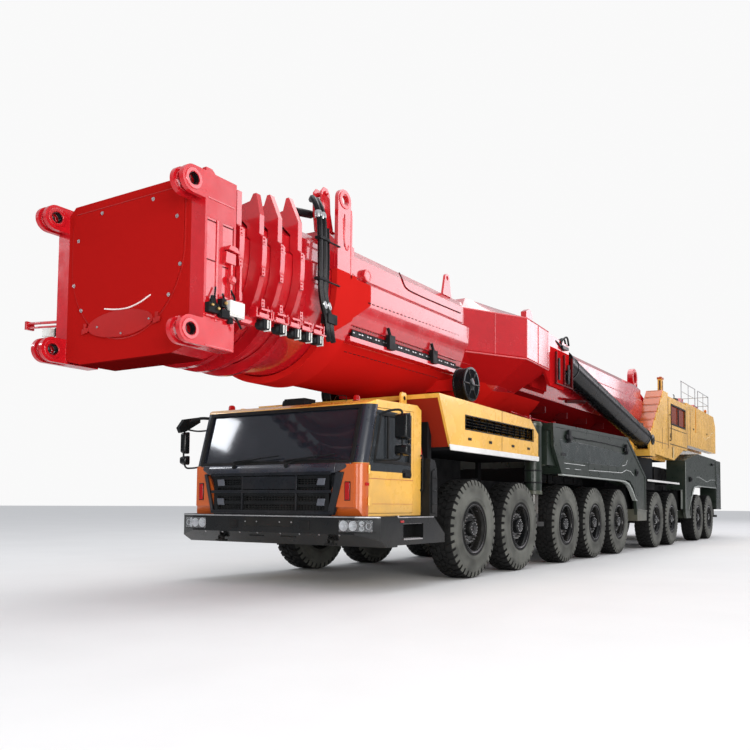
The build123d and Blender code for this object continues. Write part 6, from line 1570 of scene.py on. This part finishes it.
# ---------------------------------------------------------------- luffing cylinders
def luff_cylinders():
    foot, eye = Vector((-3.10, 0, 2.87)), Vector((3.40, 0, 4.03))
    along = (eye - foot).normalized()
    length = (eye - foot).length
    up = Vector((0, 1, 0)).cross(along) * -1
    body = "luff_barrel"
    bands, pipes, head = Build(), Build(), Build()
    for _ in mirrored():
        base = foot + Vector((0, 1.40, 0))
        end = length - 0.33
        for place, wide, radius in ((0.275, 0.05, 0.262), (0.42, 0.03, 0.257), (end - 0.09, 0.09, 0.268),
                (end - 0.42, 0.05, 0.262)):
            bands.turned(base + along * place, along, [(0, 0.25), (0.004, radius), (wide - 0.004, radius),
                (wide, 0.25)], 40)
        for place in (1.4, 3.0, 4.6):
            bands.turned(base + along * place, along, [(0, 0.25), (0.003, 0.2545), (0.017, 0.2545), (0.02, 0.25)], 40)
        for turn in (62, 76):
            out = (up * math.sin(math.radians(turn)) + Vector(ACROSS) * -math.cos(math.radians(turn))) * 0.283
            pipes.tube([base + along * 0.55 + out * 0.9, base + along * 0.65 + out, base + along * 3.0 + out,
                base + along * (end - 0.30) + out, base + along * (end - 0.20) + out * 0.88], 0.020, 8, 2)
        for place in (1.0, 2.3, 3.6, 4.9):
            out = (up * math.sin(math.radians(69)) + Vector(ACROSS) * -math.cos(math.radians(69))) * 0.262
            spot = base + along * place + out
            head.box(spot - Vector((0.05, 0.05, 0.02)), spot + Vector((0.05, 0.05, 0.045)))
        for i in range(16):
            turn = 2 * math.pi * i / 16
            spot = base + along * (end - 0.001) + (up * math.sin(turn) + Vector(ACROSS) * math.cos(turn)) * 0.215
            head.nut(spot, along, 0.020, 0.022)
        head.box(base + along * 0.5 + up * 0.24 - Vector((0.10, 0.07, 0.02)),
            base + along * 0.5 + up * 0.24 + Vector((0.12, 0.07, 0.09)))
    bands.show("luff_barrel_bands", body, "black", gloss_black, 0.0)
    pipes.show("luff_barrel_pipes", body, "black", chassis_black)
    head.show("luff_barrel_fittings", body, "black", black_plastic, 0.003)


# ---------------------------------------------------------------- equipment on the carrier
def carrier_equipment():
    dark, tanks, straps = Build(), Build(), Build()
    dark.boxes(
        (3.30, -0.80, 1.565, 2.35, 0.80, 1.84),
        (2.25, -0.80, 1.565, 0.10, 0.80, 1.80),
        (-0.05, -0.30, 1.565, -0.90, 0.30, 1.78),
        (-5.62, -1.00, 1.565, -6.42, 1.00, 2.28),
        (-6.45, -0.50, 1.565, -9.30, 0.50, 2.36),
        (-9.42, -0.50, 1.565, -11.9, 0.50, 1.86),
    )
    for x0, x1, z in ((3.2, 2.45, 1.84), (2.15, 0.2, 1.80), (-6.6, -9.2, 2.36), (-9.5, -11.8, 1.86)):
        half = 0.80 if x0 > -5 else 0.50
        for y in (-0.5, 0.5):
            dark.box((x0, (y - 0.42) * half, z - 0.005), (x1, (y + 0.42) * half, z + 0.018))
        for _ in mirrored():
            for k in range(3):
                x = x0 + (x1 - x0) * (k + 0.5) / 3
                dark.box((x - 0.2, (half - 0.03), 1.62), (x + 0.2, (half + 0.015), 1.74))
    dark.show("frame_lockers", "carrier", "black", chassis_black, 0.012)
    for _ in mirrored():
        for x0, x1 in ((2.90, 2.10), (-3.75, -4.55)):
            tanks.turned((x0, 0.86, 1.18), (-1, 0, 0), [(0, 0.08), (0.02, 0.15), (0.05, 0.175), (x0 - x1 - 0.05, 0.175),
                (x0 - x1 - 0.02, 0.15), (x0 - x1, 0.08)], 28)
            for x in (x0 - 0.15, x1 + 0.15):
                straps.turned((x + 0.02, 0.86, 1.18), (-1, 0, 0), [(0, 0.180), (0.04, 0.180)], 28)
                straps.box((x + 0.02, 0.48, 1.16), (x - 0.02, 0.70, 1.20))
    tanks.show("air_tanks", "carrier", "black", gloss_black)
    straps.show("tank_straps", "carrier", "silver", steel)
    shafts, joints = Build(), Build()
    for x0, x1 in ((7.1, 5.90), (5.40, 3.72), (3.22, 2.02), (1.52, 0.32), (-0.18, -3.05), (-3.50, -4.75),
            (-5.20, -8.20), (-8.70, -9.95)):
        shafts.rod((x0, 0, 0.78), (x1, 0, 0.78), 0.055, 16)
        for x in (x0, x1):
            joints.turned((x - 0.06, 0, 0.78), ALONG, [(0, 0.08), (0.02, 0.095), (0.10, 0.095), (0.12, 0.08)], 18)
    shafts.show("drive_shafts", "carrier", "black", chassis_black)
    joints.show("shaft_joints", "carrier", "black", gloss_black)
    flaps, steps, lamp, plate = Build(), Build(), Build(), Build()
    for _ in mirrored():
        steps.box((-12.06, 0.50, 0.98), (-12.20, 1.05, 1.04))
        lamp.box((-12.055, 0.62, 1.12), (-12.075, 0.98, 1.24))
        steps.box((-12.05, 0.58, 1.08), (-12.06, 1.02, 1.28))
        for x in (3.15, 1.45, -0.25, -3.6):
            flaps.prism([(x + 0.07, 1.42), (x - 0.07, 1.42), (x - 0.05, 1.05), (x + 0.05, 1.05)], "y", 0.50, 1.15)
    plate.box((-12.055, -0.26, 1.36), (-12.068, 0.26, 1.50))
    flaps.show("mud_flaps", "carrier", "black", seal_rubber, 0.006)
    steps.show("rear_steps", "carrier", "black", black_plastic, 0.008)
    lamp.show("carrier_tail_lamps", "carrier", "red", red_lens, 0.006)
    plate.show("rear_blank_plate", "carrier", "silver", white_plastic, 0.004)
    hitch = Build()
    hitch.prism([(-12.10, 1.02), (-12.34, 0.99), (-12.34, 0.94), (-12.10, 0.88)], "y", -0.05, 0.05)
    hitch.rod((-12.05, 0.30, 1.0), (-12.32, 0.36, 0.93), 0.022)
    hitch.rod((-12.05, -0.30, 1.0), (-12.32, -0.36, 0.93), 0.022)
    hitch.show("rear_tow_fittings", "carrier", "black", black_plastic, 0.003)
    strip = Build()
    for _ in mirrored():
        strip.boxes(
            (-2.36, 1.679, 1.742, -5.82, 1.693, 1.792),
            (4.9, 1.679, 1.885, 4.965, 1.692, 1.965),
        )
    strip.show("ring_deck_edges", "carrier", "silver", deck_white, 0.003)


# ---------------------------------------------------------------- floor, light and camera
FLOOR_SIZE = 400
SKY_LOW, SKY_HIGH = (-0.05, 0.13), (0.9, 0.95)  # height of the direction, strength there
SKY_COLOUR, BACKDROP = (0.93, 0.95, 1.0, 1), (0.95, 0.95, 0.95, 1)
LIGHTS = (
    # name, place, aim, size, power, colour
    ("key_light", (-30, 25, 17), (-2, 1, 3.0), (34, 17), 5600, (0.99, 0.94, 1.0)),
    ("side_light", (20, 17, 5), (7, 1, 3.0), (10, 8), 2300, (1.0, 0.98, 0.95)),
    ("front_light", (26, 4, 2.5), (12, 0, 3.0), (5, 4), 300, (1, 1, 1)),
    ("screen_light", (16.15, -9.3, 6.85), (9.3, -0.95, 2.0), (1.15, 0.95), 75, (0.92, 0.95, 1.0)),
    ("screen_glow", (14.9, -10.6, 8.0), (9.3, -0.6, 2.0), (5.0, 3.0), 35, (0.80, 0.86, 1.0)),
    ("top_light", (0, 0, 17), (0, 0, 2), (28, 9), 1500, (1, 1, 1)),
)
CAMERA_PLACE = (17.94, 7.11, 1.10)
CAMERA_TURN = (30.5, 3.1, 0.41)  # yaw, pitch and roll, in degrees
SENSOR_WIDTH, LENS, CAMERA_SHIFT, CLIP_END = 36, 37.7, (-0.073, 0.116), 500


def studio_floor():
    s = Shader("pale_floor", (0.80, 0.80, 0.79), 0.75)
    s.vary(0.4, 0.97, 1.0)
    s.rough = s.ramp(s.noise(1.5, 4), 0.3, 0.7, 0.62, 0.8)
    bpy.ops.mesh.primitive_plane_add(size=FLOOR_SIZE)
    floor = bpy.context.object
    floor.name = "studio_floor"
    floor.data.materials.append(s.done())


def studio_sky():
    """A soft sky that grows brighter upwards; the camera sees an even pale backdrop instead."""
    world = bpy.data.worlds.new("studio") if scene.world is None else scene.world
    scene.world = world
    world.use_nodes = True
    sky = world.node_tree
    sky.nodes.clear()
    new, link = sky.nodes.new, sky.links.new
    split = new("ShaderNodeSeparateXYZ")
    link(new("ShaderNodeTexCoord").outputs["Generated"], split.inputs[0])
    shade = new("ShaderNodeMapRange")
    for end, (height, strength) in (("Min", SKY_LOW), ("Max", SKY_HIGH)):
        shade.inputs[f"From {end}"].default_value = height
        shade.inputs[f"To {end}"].default_value = strength
    link(split.outputs["Z"], shade.inputs["Value"])
    around, seen = new("ShaderNodeBackground"), new("ShaderNodeBackground")
    link(shade.outputs["Result"], around.inputs["Strength"])
    around.inputs["Color"].default_value = SKY_COLOUR
    seen.inputs["Color"].default_value = BACKDROP
    either = new("ShaderNodeMixShader")
    link(new("ShaderNodeLightPath").outputs["Is Camera Ray"], either.inputs[0])
    link(around.outputs[0], either.inputs[1])
    link(seen.outputs[0], either.inputs[2])
    link(either.outputs[0], new("ShaderNodeOutputWorld").inputs["Surface"])


def softbox(name, place, aim, size, power, colour):
    light = bpy.data.lights.new(name, "AREA")
    light.shape = "RECTANGLE"
    light.size, light.size_y = size
    light.energy = power
    light.color = colour
    lamp = bpy.data.objects.new(name, light)
    lamp.location = place
    lamp.rotation_euler = (Vector(aim) - Vector(place)).to_track_quat("-Z", "Y").to_euler()
    scene.collection.objects.link(lamp)


def place_camera():
    data = bpy.data.cameras.new("camera")
    camera = bpy.data.objects.new("camera", data)
    scene.collection.objects.link(camera)
    scene.camera = camera
    camera.location = CAMERA_PLACE
    yaw, pitch, roll = [math.radians(angle) for angle in CAMERA_TURN]
    ahead = Vector((-math.cos(yaw) * math.cos(pitch), -math.sin(yaw) * math.cos(pitch), math.sin(pitch)))
    camera.rotation_mode = "QUATERNION"
    camera.rotation_quaternion = ahead.to_track_quat("-Z", "Y") @ Matrix.Rotation(roll, 3, "Z").to_quaternion()
    data.sensor_width, data.lens, data.clip_end = SENSOR_WIDTH, LENS, CLIP_END
    data.shift_x, data.shift_y = CAMERA_SHIFT


wheel_parts()
boom_head()
boom_collars()
boom_base()
cab_front()
bumper()
mirrors_and_roof()
doors()
housing()
outriggers()
superstructure()
luff_cylinders()
carrier_equipment()
studio_floor()
studio_sky()
for row in LIGHTS:
    softbox(*row)
place_camera()
scene.view_settings.view_transform = "Standard"
